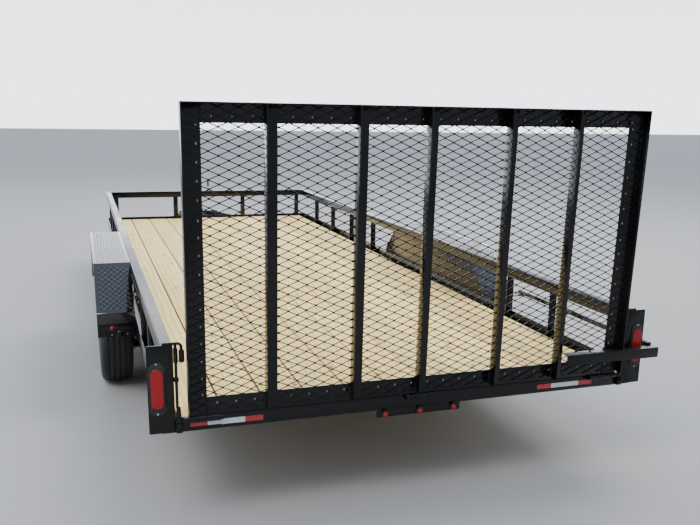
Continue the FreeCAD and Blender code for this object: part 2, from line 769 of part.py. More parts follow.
def build_hinges():
    # x of each gate barrel's left end
    places = [-gate_half + barrel_inset, -barrel_length / 2, gate_half - barrel_inset - barrel_length]
    gate_barrels = []
    frame_barrels = []
    for x in places:
        barrel = turned(hinge_radius, barrel_length, (x, gate_plane, hinge_z), (1, 0, 0))
        barrel = barrel.cut(turned(hinge_pin + hinge_pin_clear, barrel_length + 2, (x - 1, gate_plane, hinge_z),
                                   (1, 0, 0)))
        tab = block(x, x + barrel_length, mesh_y, face_y, hinge_z + hinge_radius - 2, gate_low)
        gate_barrels.append(leaned(joined([barrel, tab])))
        pin_length = barrel_length + 2 * lug_length
        fixed = [turned(hinge_pin, pin_length, (x - lug_length, gate_plane, hinge_z), (1, 0, 0))]
        for x0 in (x - barrel_gap - lug_length, x + barrel_length + barrel_gap):
            fixed.append(turned(hinge_radius, lug_length, (x0, gate_plane, hinge_z), (1, 0, 0)))
            fixed.append(block(x0, x0 + lug_length, gate_plane, 0, hinge_z - hinge_radius, hinge_z))
        frame_barrels.append(joined(fixed))
    add("gate_barrels", *gate_barrels)
    add("frame_barrels", *frame_barrels)


def build_latches():
    # A rod in two sleeves down the tail plate's inner edge, its top bent inward and down to a paddle.
    x = plate_in - latch_sleeve - 0.3
    y = latch_setback
    top = rail_top_z + latch_rise
    wide, deep, tall = latch_paddle
    paddle_x = x - latch_offset
    foot_wide, foot_deep, foot_tall = latch_foot
    foot_low = deck_z - rear_face_height
    shapes = [pin_z(latch_rod, foot_low + foot_tall - 1, top, x, y, 8)]
    for low, high in ((top - 78, top - 18), (top - 156, top - 138)):
        shapes.append(pin_z(latch_sleeve, low, high, x, y, 12))
    shapes.append(pin_x(latch_rod, paddle_x - latch_rod, x + latch_rod, y, top, 8))
    shapes.append(pin_z(latch_rod, top - 30, top, paddle_x, y, 8))
    shapes.append(block(paddle_x - wide / 2, paddle_x + wide / 2, y - deep / 2, y + deep / 2, top - 18 - tall,
                        top - 18))
    shapes.append(block(plate_in - 0.3 - foot_wide, plate_in - 0.3, -foot_deep - 4, 0, foot_low,
                        foot_low + foot_tall))
    latch = joined(shapes)
    add("gate_latches", latch, mirrored(latch))


# Tongue: two channels that meet at the coupler
tongue_top = frame_low
tongue_low = tongue_top - tongue_height
apex_y = bed_length + tongue_reach
tongue_slope = math.tan(math.radians(tongue_half_angle))
jack_y = apex_y - jack_setback


def tongue_outer(y):
    # Outer face of the right channel at a distance along the trailer
    return tongue_tip_half + tongue_flange + (apex_y - tongue_tip - y) * tongue_slope


def build_tongue():
    start = cross_rows[-1] + cross_thick
    end = apex_y - tongue_tip

    def band(from_outer, width, z0, z1):
        outline = [(tongue_outer(end) - from_outer - width, end), (tongue_outer(end) - from_outer, end),
                   (tongue_outer(start) - from_outer, start), (tongue_outer(start) - from_outer - width, start)]
        return plate_z(outline, z0, z1)
    web = band(0, tongue_web, tongue_low, tongue_top)
    top = band(0, tongue_flange, tongue_top - tongue_web, tongue_top)
    low = band(0, tongue_flange, tongue_low, tongue_low + tongue_web)
    both_sides("tongue", joined([web, top, low]))


def build_coupler():
    back_y = apex_y - coupler_length
    shoulder_y = apex_y - tongue_tip
    back_half = tongue_outer(back_y) - 4
    tip_half = tongue_outer(shoulder_y) - 22
    nose_half = ball_radius + socket_wall
    plate = plate_z([(-back_half, back_y), (back_half, back_y), (tip_half, shoulder_y), (nose_half, apex_y + 20),
                     (-nose_half, apex_y + 20), (-tip_half, shoulder_y)], tongue_top, tongue_top + coupler_plate)
    # A pressed ridge that narrows from the A-frame to the ball's socket: y, half width, height
    sections = []
    for y, half, height in ((back_y + 25, 66, 16), (apex_y - 110, 50, 30), (apex_y, 36, 42)):
        low = tongue_top + coupler_plate - 1
        corners = [(-half, low), (half, low), (half * 0.72, tongue_top + height), (-half * 0.72, tongue_top + height)]
        points = [V(x, y, z) for x, z in corners]
        sections.append(Part.makePolygon(points + points[:1]))
    ridge = Part.makeLoft(sections, True, True)
    mouth = tongue_top - socket_drop
    nose = turned(nose_half, 48.0, (0, apex_y, mouth), (0, 0, 1))
    crown = Part.makeCone(nose_half, nose_half * 0.55, 12.0, V(0, apex_y, mouth + 48), V(0, 0, 1))
    body = joined([plate, ridge, nose, crown])
    add("coupler", body.cut(turned(ball_radius, ball_depth, (0, apex_y, mouth), (0, 0, 1))))

    seat = tongue_top + 44.0
    latch = plate_x([(apex_y - 130, seat - 14), (apex_y - 60, seat - 8), (apex_y - 44, seat + 4),
                     (apex_y - 60, seat + 20), (apex_y - 150, seat + 26), (apex_y - 190, seat + 20),
                     (apex_y - 190, seat + 12), (apex_y - 150, seat + 14)], -10, 10)
    add("coupler_latch", latch.cut(joined([plate, ridge, nose, crown])))


def build_jack():
    half_rear = tongue_outer(jack_y - 70) + 2
    half_fore = tongue_outer(jack_y + 55) + 2
    plate = plate_z([(-half_rear, jack_y - 70), (half_rear, jack_y - 70), (half_fore, jack_y + 55),
                     (-half_fore, jack_y + 55)], tongue_top, tongue_top + jack_plate)
    low = tongue_top - jack_drop
    tube = turned(jack_radius, jack_length, (0, jack_y, low), (0, 0, 1))
    head = turned(jack_head, 40.0, (0, jack_y, low + jack_length - 44), (0, 0, 1))
    collar = turned(jack_head, 14.0, (0, jack_y, tongue_top + jack_plate), (0, 0, 1))
    body = joined([plate, tube, head, collar])
    bore_length = jack_length - 8.0
    body = body.cut(turned(jack_radius - jack_wall, bore_length + 1, (0, jack_y, low - 1), (0, 0, 1)))
    add("jack_tube", body)

    leg_radius = jack_radius - jack_wall - leg_clear
    leg_top = low + 110.0
    leg = turned(leg_radius, leg_top - foot_thick, (0, jack_y, foot_thick), (0, 0, 1))
    foot = turned(foot_radius, foot_thick, (0, jack_y, 0), (0, 0, 1))
    add("jack_leg", joined([leg, foot]))

    crank_z = low + jack_length
    post = turned(7.0, 26.0, (0, jack_y, crank_z), (0, 0, 1))
    bar = block(-9, crank_reach, jack_y - 8, jack_y + 8, crank_z + 18, crank_z + 24)
    grip = turned(10.0, crank_grip, (crank_reach - 8, jack_y, crank_z + 22), (0, 0, 1))
    add("jack_crank", joined([post, bar, grip]))


build_frame()
add("cross_members", *[cross_member(y) for y in cross_rows])
build_boards()
build_railing()
build_wheels()
build_running_gear()
build_fenders()
build_lamps()
build_gate_frame()
build_gate_mesh()
build_lift_arm()
build_hinges()
build_latches()
build_tongue()
build_coupler()
build_jack()

rear_most = min(shape.BoundBox.YMin for shape in nodes.values())
front_most = max(shape.BoundBox.YMax for shape in nodes.values())
shift = V(0, -(rear_most + front_most) / 2, 0)
print("moved along y", round(shift.y, 4), "rear", round(rear_most, 3), "front", round(front_most, 3))
for name, shape in nodes.items():
    shape.translated(shift).exportStep("parts/%s.step" % name)
print(len(nodes), "nodes")
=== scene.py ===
import json
import math
import random
import bpy
from mathutils import Matrix, Vector


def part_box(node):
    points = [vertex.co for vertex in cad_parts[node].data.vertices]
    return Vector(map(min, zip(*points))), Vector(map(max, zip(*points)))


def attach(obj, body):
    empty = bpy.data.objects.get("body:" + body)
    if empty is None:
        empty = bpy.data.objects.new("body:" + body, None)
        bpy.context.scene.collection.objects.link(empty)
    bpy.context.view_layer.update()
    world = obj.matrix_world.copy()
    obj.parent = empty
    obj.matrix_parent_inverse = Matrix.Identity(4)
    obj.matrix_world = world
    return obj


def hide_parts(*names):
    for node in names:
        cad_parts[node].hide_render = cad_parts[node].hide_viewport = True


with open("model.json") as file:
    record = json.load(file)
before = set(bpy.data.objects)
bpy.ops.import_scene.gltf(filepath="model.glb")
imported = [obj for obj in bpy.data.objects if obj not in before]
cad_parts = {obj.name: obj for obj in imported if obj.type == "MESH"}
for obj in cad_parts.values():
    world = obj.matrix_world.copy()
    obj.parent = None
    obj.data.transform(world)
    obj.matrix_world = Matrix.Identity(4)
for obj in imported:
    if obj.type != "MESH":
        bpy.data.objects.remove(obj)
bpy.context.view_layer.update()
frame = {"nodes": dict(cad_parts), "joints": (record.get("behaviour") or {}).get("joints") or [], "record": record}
nodes = frame["nodes"]
bodyOf = {node: body for body, names in frame["record"]["behaviour"]["bodies"].items() for node in names}
print("frame loaded,", len(nodes), "nodes")

# Camera at the photo's angle, read from the gate's mesh, the rails and the boards
cameraView = {
    "frameWide": 700,            # the photo's frame, pixels
    "frameHigh": 525,
    "focalPixels": 803.2,
    "centreX": 364.9,            # where the lens looks straight ahead
    "centreY": 304.9,
    "sensor": 36.0,
    "place": (-1.3479, -6.7712, 1.6687),
    "turn": (76.470, -1.009, -19.195),
}


def placeCamera():
    c = cameraView
    wide = c["frameWide"]
    bpy.ops.object.camera_add(location=c["place"], rotation=[math.radians(a) for a in c["turn"]])
    camera = bpy.context.object
    camera.name = "photoCamera"
    camera.data.sensor_width = c["sensor"]
    camera.data.lens = c["focalPixels"] * c["sensor"] / wide
    camera.data.shift_x = (wide / 2 - c["centreX"]) / wide
    camera.data.shift_y = (c["centreY"] - c["frameHigh"] / 2) / wide
    bpy.context.scene.camera = camera


placeCamera()


class NodeTree:
    # A node tree being built: most methods add a node and give the socket that it puts out.
    def __init__(self, owner):
        owner.use_nodes = True
        self.tree = owner.node_tree
        self.tree.nodes.clear()

    def add(self, kind, inputs=None, **settings):
        node = self.tree.nodes.new("ShaderNode" + kind)
        for key, value in settings.items():
            setattr(node, key, value)
        for key, value in (inputs or {}).items():
            if isinstance(value, bpy.types.NodeSocket):
                self.tree.links.new(value, node.inputs[key])
            elif value is not None:
                node.inputs[key].default_value = value
        return node

    def remap(self, value, fromLow, fromHigh, toLow=0.0, toHigh=1.0):
        return self.add("MapRange", {"Value": value, "From Min": fromLow, "From Max": fromHigh,
                                     "To Min": toLow, "To Max": toHigh}).outputs["Result"]

    def math(self, kind, a, b=None):
        return self.add("Math", {0: a, 1: b}, operation=kind).outputs[0]

    def mix(self, share, a, b, blend="MIX"):
        return self.add("Mix", {0: share, 6: a, 7: b}, data_type="RGBA", blend_type=blend).outputs[2]


class Look(NodeTree):
    # A material. Its patterns read Object coordinates, in metres.
    def __init__(self, name):
        self.material = bpy.data.materials.new(name)
        super().__init__(self.material)
        self.here = self.add("TexCoord").outputs["Object"]

    def stretched(self, place, scale):
        return self.add("Mapping", {"Vector": place, "Scale": scale}).outputs[0]

    def noise(self, scale, detail, rough=0.55, stretch=None, place=None):
        place = self.here if place is None else place
        if stretch:
            place = self.stretched(place, stretch)
        inputs = {"Vector": place, "Scale": scale, "Detail": detail, "Roughness": rough}
        return self.add("TexNoise", inputs).outputs["Fac"]

    def cells(self, scale, uneven=1.0):
        inputs = {"Vector": self.here, "Scale": scale, "Randomness": uneven}
        return self.add("TexVoronoi", inputs).outputs["Distance"]

    def wave(self, direction, inputs):
        return self.add("TexWave", inputs, wave_type="BANDS", bands_direction=direction).outputs["Fac"]

    def bump(self, height, strength, distance):
        return self.add("Bump", {"Height": height, "Strength": strength, "Distance": distance}).outputs[0]

    def upward(self, low=0.55, high=0.95):
        normal = self.add("NewGeometry").outputs["Normal"]
        return self.remap(self.add("SeparateXYZ", {0: normal}).outputs["Z"], low, high)

    def finish(self, colour, roughness, normal=None, **sockets):
        inputs = {"Base Color": colour, "Roughness": roughness, "Normal": normal}
        inputs.update({key.replace("_", " "): value for key, value in sockets.items()})
        self.add("OutputMaterial", {0: self.add("BsdfPrincipled", inputs).outputs[0]})
        return self.material


# Plain floor and soft studio light
studio = {
    "floorHalf": 60.0,
    "floorColour": (0.31, 0.30, 0.285, 1),
    "floorRough": 0.85,
    # Sky ahead of the trailer and behind the camera: at the horizon, half way, and overhead
    "skyAhead": ((1.85, 1.92, 2.04, 1), (1.20, 1.29, 1.42, 1), (0.58, 0.70, 0.92, 1)),
    "skyBehind": ((0.30, 0.31, 0.32, 1), (0.30, 0.34, 0.40, 1), (0.52, 0.64, 0.86, 1)),
    "skyStops": (0.03, 0.35, 0.90),
    "skyTurn": (-0.35, 0.25),    # one sky fades into the other between these, from rear to front
    "skyStrength": 1.7,
    "lampAim": (0, 0, 0.5),
    "lamps": [                   # place, size, watts
        ((-6.0, -7.0, 10.0), 5.0, 900.0),
        ((6.0, 1.0, 10.0), 6.0, 1100.0),
        ((0.0, 8.0, 9.0), 6.0, 450.0),
    ],
}


def buildSky():
    s = studio
    world = bpy.data.worlds.new("softSky")
    sky = NodeTree(world)
    view = sky.add("SeparateXYZ", {0: sky.add("TexCoord").outputs["Generated"]}).outputs
    skies = []
    for colours in (s["skyBehind"], s["skyAhead"]):
        ramp = sky.add("ValToRGB", {0: view["Z"]})
        ramp.color_ramp.elements.new(s["skyStops"][1])
        for stop, place, colour in zip(ramp.color_ramp.elements, s["skyStops"], colours):
            stop.position = place
            stop.color = colour
        skies.append(ramp.outputs[0])
    colour = sky.mix(sky.remap(view["Y"], *s["skyTurn"]), *skies)
    light = sky.add("Background", {"Color": colour, "Strength": s["skyStrength"]})
    sky.add("OutputWorld", {0: light.outputs[0]})
    bpy.context.scene.world = world


def buildStudio():
    s = studio
    bpy.ops.mesh.primitive_plane_add(size=2 * s["floorHalf"], location=(0, 0, 0))
    floor = bpy.context.object
    floor.name = "studioFloor"
    floor.data.materials.append(Look("palePavement").finish(s["floorColour"], s["floorRough"]))
    buildSky()
    for i, (place, size, watts) in enumerate(s["lamps"]):
        bpy.ops.object.light_add(type="AREA", location=place)
        lamp = bpy.context.object
        lamp.name = "softLamp%d" % i
        lamp.data.size = size
        lamp.data.energy = watts
        aim = Vector(s["lampAim"]) - Vector(place)
        lamp.rotation_euler = aim.to_track_quat("-Z", "Y").to_euler()


buildStudio()
print("camera, floor and light in place")

# Materials
paintLook = {
    "black": (0.0022, 0.0023, 0.0027, 1),
    "worn": (0.0065, 0.0065, 0.0070, 1),
    "dust": (0.075, 0.070, 0.062, 1),
    "dustAbove": 0.22,           # share of dust on faces that look up, in streaks, and in specks
    "dustStreak": 0.05,
    "dustSpeck": 0.35,
    "peelSize": 320.0,           # orange peel, waves a metre
    "peelDepth": 0.05,
    "rough": (0.10, 0.25),
    "dustRough": 0.5,
}


def makeBlackPaint(name, dusty=1.0, shine=1.0, mirror=0.32):
    p = paintLook
    look = Look(name)
    cloud = look.noise(2.3, 6.0)
    streak = look.noise(9.0, 5.0, stretch=(1.0, 1.0, 0.18))
    speck = look.noise(260.0, 2.0)
    paint = look.mix(look.remap(cloud, 0.42, 0.72), p["black"], p["worn"])
    dirt = look.math("MULTIPLY", look.remap(cloud, 0.35, 0.7, 0, p["dustAbove"] * dusty), look.upward())
    dirt = look.math("MAXIMUM", dirt, look.remap(streak, 0.55, 0.8, 0, p["dustStreak"] * dusty))
    dirt = look.math("MAXIMUM", dirt, look.remap(speck, 0.68, 0.74, 0, p["dustSpeck"] * dusty))
    rough = look.remap(cloud, 0.3, 0.75, p["rough"][0] * shine, p["rough"][1] * shine)
    rough = look.math("ADD", rough, look.math("MULTIPLY", dirt, p["dustRough"]))
    peel = look.bump(look.noise(p["peelSize"], 2.0), p["peelDepth"], 0.0015)
    return look.finish(look.mix(dirt, paint, p["dust"]), rough, peel, Specular_IOR_Level=mirror)


pineLook = {
    "pale": (0.92, 0.69, 0.26, 1),
    "warm": (0.84, 0.57, 0.17, 1),
    "grain": (0.42, 0.25, 0.08, 1),
    "knot": (0.13, 0.055, 0.02, 1),
    "seam": (0.055, 0.032, 0.014, 1),
    "plankPitch": 0.18991,
    "seamHalf": 0.009,           # dark joint, as a share of the pitch
    "slide": (3.7, 1.3),         # each plank shows another stretch of the grain
    "tone": (0.82, 1.08),        # from the darkest plank to the palest
}


def makePine():
    p = pineLook
    look = Look("pinePlanks")
    across = look.add("SeparateXYZ", {0: look.here}).outputs["X"]
    # The middle plank straddles the centre line.
    across = look.math("ADD", look.math("DIVIDE", across, p["plankPitch"]), 0.5)
    number = look.math("FLOOR", across)
    offMiddle = look.math("SUBTRACT", look.math("SUBTRACT", across, number), 0.5)
    offMiddle = look.math("ABSOLUTE", offMiddle)
    slide = [look.math("MULTIPLY", number, step) for step in p["slide"]]
    slide = look.add("CombineXYZ", {"Y": slide[0], "Z": slide[1]}).outputs[0]
    place = look.add("VectorMath", {0: look.here, 1: slide}, operation="ADD").outputs[0]
    # Long rings: a wave across the plank, bent by slow noise along it
    rings = look.wave("X", {"Vector": look.stretched(place, (1.0, 0.10, 1.0)), "Scale": 9.0,
                            "Distortion": 5.5, "Detail": 3.0, "Detail Scale": 1.2, "Detail Roughness": 0.6})
    fibre = look.noise(60.0, 5.0, 0.6, (4.0, 0.10, 4.0), place)
    patch = look.noise(2.2, 4.0, 0.55, (1.6, 0.5, 1.6), place)
    scuff = look.noise(13.0, 4.0, 0.6, (0.45, 3.2, 1.0), place)
    # Knots: a few round cells, stretched a little along the plank
    cells = look.add("TexVoronoi", {"Vector": look.stretched(place, (1.3, 0.8, 0.05)), "Scale": 3.4,
                                    "Randomness": 1.0}, voronoi_dimensions="2D").outputs
    chance = look.add("SeparateColor", {0: cells["Color"]}).outputs[0]
    kept = look.remap(chance, 0.50, 0.52)
    knot = look.math("MULTIPLY", look.remap(cells["Distance"], 0.028, 0.060, 0.85, 0.0), kept)
    halo = look.math("MULTIPLY", look.remap(cells["Distance"], 0.05, 0.20, 0.30, 0.0), kept)
    seam = look.remap(offMiddle, 0.5 - 2 * p["seamHalf"], 0.5 - p["seamHalf"], 0.0, 0.75)
    colour = look.mix(look.remap(patch, 0.3, 0.75), p["pale"], p["warm"])
    for share, tint in ((look.remap(rings, 0.55, 0.95, 0.0, 0.38), "grain"),
                        (look.remap(fibre, 0.55, 0.85, 0.0, 0.30), "grain"), (halo, "grain"), (knot, "knot"),
                        (look.remap(scuff, 0.66, 0.76, 0.0, 0.42), "knot"), (seam, "seam")):
        colour = look.mix(share, colour, p[tint])
    tone = look.add("TexWhiteNoise", {"W": number}, noise_dimensions="1D").outputs["Value"]
    tone = look.remap(tone, 0.0, 1.0, *p["tone"])
    tone = look.add("CombineXYZ", {0: tone, 1: tone, 2: tone}).outputs[0]
    height = look.math("ADD", fibre, look.math("MULTIPLY", rings, 0.5))
    return look.finish(look.mix(1.0, colour, tone, "MULTIPLY"), look.remap(fibre, 0.3, 0.8, 0.62, 0.82),
                       look.bump(height, 0.28, 0.002))


def makeRubber():
    look = Look("tyreRubber")
    cloud = look.noise(5.0, 5.0)
    fine = look.noise(420.0, 3.0)
    colour = look.mix(look.remap(cloud, 0.4, 0.75), (0.013, 0.013, 0.014, 1), (0.038, 0.036, 0.034, 1))
    colour = look.mix(look.remap(fine, 0.6, 0.75, 0.0, 0.35), colour, (0.10, 0.095, 0.088, 1))
    return look.finish(colour, look.remap(cloud, 0.3, 0.8, 0.55, 0.78), look.bump(fine, 0.25, 0.0006))


def makeEnamel(name, light, dark, low=0.22, high=0.42):
    look = Look(name)
    cloud = look.noise(6.0, 6.0)
    speck = look.noise(210.0, 3.0)
    colour = look.mix(look.remap(cloud, 0.45, 0.8), light, dark)
    colour = look.mix(look.remap(speck, 0.62, 0.72, 0.0, 0.5), colour, dark)
    return look.finish(colour, look.remap(cloud, 0.3, 0.8, low, high), look.bump(speck, 0.06, 0.001),
                       Coat_Weight=0.2, Coat_Roughness=0.12)


def makeZinc():
    look = Look("zincPlate")
    cells = look.cells(130.0)
    cloud = look.noise(14.0, 5.0)
    colour = look.mix(look.remap(cells, 0.1, 0.7), (0.56, 0.57, 0.59, 1), (0.42, 0.43, 0.45, 1))
    colour = look.mix(look.remap(cloud, 0.55, 0.8, 0.0, 0.6), colour, (0.20, 0.19, 0.18, 1))
    return look.finish(colour, look.remap(cloud, 0.3, 0.8, 0.28, 0.5), look.bump(cloud, 0.1, 0.001),
                       Metallic=1.0)


def makeLens(name, deep, bright):
    # Prisms moulded behind the lens, in two directions
    look = Look(name)
    waves = [look.wave(direction, {"Vector": look.here, "Scale": 52.0}) for direction in ("X", "Z")]
    prism = look.math("MULTIPLY", *waves)
    colour = look.mix(look.remap(prism, 0.1, 0.8), deep, bright)
    return look.finish(colour, look.remap(prism, 0.0, 1.0, 0.10, 0.2), look.bump(prism, 0.2, 0.0012),
                       Coat_Weight=0.25, Coat_Roughness=0.06, Specular_IOR_Level=0.35)


def makeTape(name, light, dark):
    # Sheeting of small cells under a clear film
    look = Look(name)
    cells = look.cells(300.0, 0.15)
    cloud = look.noise(30.0, 3.0)
    colour = look.mix(look.remap(cells, 0.25, 0.6), light, dark)
    colour = look.mix(look.remap(cloud, 0.5, 0.8, 0.0, 0.4), colour, dark)
    return look.finish(colour, look.remap(cloud, 0.3, 0.8, 0.25, 0.4), look.bump(cells, 0.12, 0.0004),
                       Coat_Weight=0.6, Coat_Roughness=0.1)


materials = {
    "blackPaint": makeBlackPaint("glossBlackPaint"),
    "chassisPaint": makeBlackPaint("chassisBlackPaint", 1.6, 1.5),
    "treadPlate": makeBlackPaint("treadPlatePaint", 0.4, 0.35, 0.80),
    # A darker copy of the tread plate's paint for the slopes' lugs. This is painted shade: less dust in its
    # colour, and rougher and less reflective.
    "treadLug": makeBlackPaint("treadLugShadedPaint", 0.2, 1.0, 0.30),
    "bareWeld": makeEnamel("bareWeld", (0.20, 0.19, 0.18, 1), (0.05, 0.045, 0.04, 1), 0.3, 0.5),
    "pine": makePine(),
    "rubber": makeRubber(),
    "wheelWhite": makeEnamel("wheelWhite", (0.72, 0.72, 0.70, 1), (0.42, 0.40, 0.36, 1)),
    "zinc": makeZinc(),
    "redTape": makeTape("redTape", (0.55, 0.012, 0.018, 1), (0.30, 0.006, 0.010, 1)),
    "whiteTape": makeTape("whiteTape", (0.80, 0.81, 0.80, 1), (0.55, 0.57, 0.58, 1)),
    "redLens": makeLens("redLens", (0.26, 0.001, 0.003, 1), (0.55, 0.004, 0.008, 1)),
    "amberLens": makeLens("amberLens", (0.45, 0.10, 0.004, 1), (0.90, 0.30, 0.02, 1)),
}
print("materials ready")


# Ways of working with Blender's own tools
def pick(*pieces):
    if bpy.context.object and bpy.context.object.mode != "OBJECT":
        bpy.ops.object.mode_set(mode="OBJECT")
    bpy.ops.object.select_all(action="DESELECT")
    for piece in pieces:
        piece.select_set(True)
    bpy.context.view_layer.objects.active = pieces[0]


def settle(piece):
    # The object goes to the origin, unturned, with its place in its mesh.
    pick(piece)
    bpy.ops.object.transform_apply(location=True, rotation=True, scale=True)
    return piece


def justAdded(name):
    piece = bpy.context.object
    piece.name = name
    return settle(piece)


def editPiece(piece, faces=None, edges=None, points=None):
    # Opens edit mode with the faces, edges or points selected that pass a test, or with everything.
    pick(piece)
    tested = faces or edges or points
    bpy.ops.object.mode_set(mode="EDIT")
    bpy.ops.mesh.select_mode(type="EDGE" if edges else "VERT" if points else "FACE")
    bpy.ops.mesh.select_all(action="DESELECT" if tested else "SELECT")
    if not tested:
        return
    bpy.ops.object.mode_set(mode="OBJECT")
    mesh = piece.data
    if faces:
        for face in mesh.polygons:
            face.select = faces(face)
    elif edges:
        for edge in mesh.edges:
            edge.select = edges(*[mesh.vertices[i].co for i in edge.vertices])
    else:
        for vertex in mesh.vertices:
            vertex.select = points(vertex.co)
    bpy.ops.object.mode_set(mode="EDIT")


def leaveEdit():
    bpy.ops.object.mode_set(mode="OBJECT")


def stepOut(move):
    bpy.ops.mesh.extrude_region_move(TRANSFORM_OT_translate={"value": move})


def insetFaces(piece, faces, rings):
    # Rings set one within another in the faces that pass a test, as (width, depth)
    editPiece(piece, faces)
    for width, depth in rings:
        bpy.ops.mesh.inset(thickness=width, depth=depth)
    leaveEdit()


def bevelEdges(piece, edges, width, segments):
    editPiece(piece, edges=edges)
    bpy.ops.mesh.bevel(offset=width, segments=segments, affect="EDGES")
    leaveEdit()


def resizeFaces(piece, faces, size):
    editPiece(piece, faces)
    bpy.ops.transform.resize(value=size)
    leaveEdit()


def faceOutwards(piece):
    editPiece(piece)
    bpy.ops.mesh.normals_make_consistent(inside=False)
    leaveEdit()


def useModifier(piece, kind, **values):
    modifier = piece.modifiers.new(kind.lower(), kind)
    for key, value in values.items():
        setattr(modifier, key, value)
    pick(piece)
    bpy.ops.object.modifier_apply(modifier=modifier.name)
    return piece


def bevelAll(piece, width, segments=2, angle=30.0):
    return useModifier(piece, "BEVEL", width=width, segments=segments, limit_method="ANGLE",
                       angle_limit=math.radians(angle), use_clamp_overlap=True)


def repeat(piece, count, step, **values):
    useModifier(piece, "ARRAY", count=count, use_relative_offset=False, use_constant_offset=True,
                constant_offset_displace=step, **values)


def boxAt(name, low, high):
    low, high = Vector(low), Vector(high)
    bpy.ops.mesh.primitive_cube_add(size=1, location=(low + high) / 2, scale=high - low)
    return justAdded(name)


def barAt(name, radius, start, length, axis, sides=24):
    # A round bar that leaves start along an axis.
    middle = Vector(start)
    middle["XYZ".index(axis)] += length / 2
    turn = {"X": (0, math.pi / 2, 0), "Y": (-math.pi / 2, 0, 0), "Z": (0, 0, 0)}[axis]
    bpy.ops.mesh.primitive_cylinder_add(vertices=sides, radius=radius, depth=abs(length), location=middle,
                                        rotation=turn)
    return justAdded(name)


def ballAt(name, radius, segments, rings, size):
    # A ball at the origin, squeezed along the axes.
    bpy.ops.mesh.primitive_uv_sphere_add(segments=segments, ring_count=rings, radius=radius)
    ball = bpy.context.object
    ball.name = name
    resizeFaces(ball, None, size)
    return ball


def joinPieces(name, pieces):
    pick(*pieces)
    if len(pieces) > 1:
        bpy.ops.object.join()
    whole = bpy.context.object
    whole.name = name
    whole.data.name = name
    return whole


def copyPiece(piece, place=(0, 0, 0), turn=(0, 0, 0), size=(1, 1, 1)):
    # A copy with its own mesh, moved from the origin to its place.
    twin = piece.copy()
    twin.data = piece.data.copy()
    bpy.context.collection.objects.link(twin)
    twin.location = place
    twin.rotation_euler = turn
    twin.scale = size
    return twin


def copiesAt(name, piece, spots):
    # Copies of one piece, joined into one. A spot holds a place, and may hold a turn and a size.
    twins = [copyPiece(piece, *spot) for spot in spots]
    bpy.data.objects.remove(piece)
    return settle(joinPieces(name, twins))


def mirrorPiece(piece, name):
    # The same piece for the other side of the trailer.
    twin = settle(copyPiece(piece, size=(-1, 1, 1)))
    twin.name = name
    faceOutwards(twin)
    return twin


def turnGate(piece):
    # A settled piece leans back with the gate, about its hinge.
    bpy.context.scene.cursor.location = hingeLine()
    pick(piece)
    bpy.ops.object.origin_set(type="ORIGIN_CURSOR")
    piece.rotation_euler.x = math.radians(gate["lean"])
    bpy.context.scene.cursor.location = (0, 0, 0)
    return settle(piece)


def turnedPiece(name, points, axis, steps=64, closed=True):
    # A profile spun all the way round an axis through the origin, given as (along the axis, radius).
    axes = [Vector((1, 0, 0)), Vector((0, 0, 1))]
    side, out = axes if axis == "X" else axes[::-1]
    line = [side * a + out * r for a, r in points]
    if closed:
        line.append(line[0])
    # The profile is one point, extruded from each of its places to the next.
    bpy.ops.mesh.primitive_plane_add(size=0.001, location=(0, 0, 0))
    piece = bpy.context.object
    piece.name = name
    bpy.ops.object.mode_set(mode="EDIT")
    bpy.ops.mesh.select_mode(type="VERT")
    bpy.ops.mesh.select_all(action="SELECT")
    bpy.ops.mesh.merge(type="CENTER")
    bpy.ops.transform.translate(value=line[0])
    for a, b in zip(line, line[1:]):
        bpy.ops.mesh.extrude_vertices_move(TRANSFORM_OT_translate={"value": b - a})
    bpy.ops.mesh.select_all(action="SELECT")
    bpy.ops.mesh.spin(steps=steps, angle=2 * math.pi, center=(0, 0, 0), axis=side)
    bpy.ops.mesh.select_all(action="SELECT")
    bpy.ops.mesh.remove_doubles(threshold=0.00005)
    bpy.ops.mesh.normals_make_consistent(inside=False)
    leaveEdit()
    return settle(piece)


def finishPiece(piece, material="blackPaint", body="root", slot="black_paint", smooth=35.0):
    piece.data.materials.clear()
    piece.data.materials.append(materials[material])
    pick(piece)
    bpy.ops.object.shade_smooth_by_angle(angle=math.radians(smooth))
    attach(piece, body)
    return piece


def finishPair(piece, name, *finish):
    # A piece on the right and its mirror image on the left
    piece.name = name + "_right"
    return finishPiece(piece, *finish), finishPiece(mirrorPiece(piece, name + "_left"), *finish)


def softCopy(node, name, rounding, finish="blackPaint", slot="black_paint", smooth=35.0):
    # A rounded copy stands in for its node: corners merged and flat faces made whole first.
    twin = bpy.data.objects.new(name, nodes[node].data.copy())
    bpy.context.collection.objects.link(twin)
    editPiece(twin)
    bpy.ops.mesh.remove_doubles(threshold=0.00001)
    bpy.ops.mesh.dissolve_limited(angle_limit=math.radians(0.5))
    bpy.ops.mesh.normals_make_consistent(inside=False)
    leaveEdit()
    bevelAll(twin, *rounding)
    finishPiece(twin, finish, bodyOf[node], slot, smooth)
    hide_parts(node)


def boxOf(node):
    return [Vector(c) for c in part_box(node)]


def corner(node, x="middle", y="middle", z="middle"):
    # A point of a node's box: low, middle or high along each axis.
    low, high = boxOf(node)
    ends = {"low": low, "middle": (low + high) / 2, "high": high}
    return Vector((ends[x].x, ends[y].y, ends[z].z))


# Steelwork with its worn edges rounded. A star stands for left and right.
steelRounding = {"angle": 0.0012, "plate": 0.0006, "tube": 0.0022}
steelNodes = {
    "angle": "frame_side_* frame_front cross_members rear_posts_* fore_posts_* front_posts gate_side_* "
             "gate_top gate_bottom gate_uprights lift_arm tongue_*",
    "plate": "tail_plate_* fender_back_* spring_hangers_* equaliser_* frame_barrels gate_barrels axle_rear "
             "axle_front springs_* spring_clamps",
    "tube": "frame_rear top_rail_* top_rail_front",
}
underneath = ("cross_members", "tongue", "spring", "equaliser", "axle")


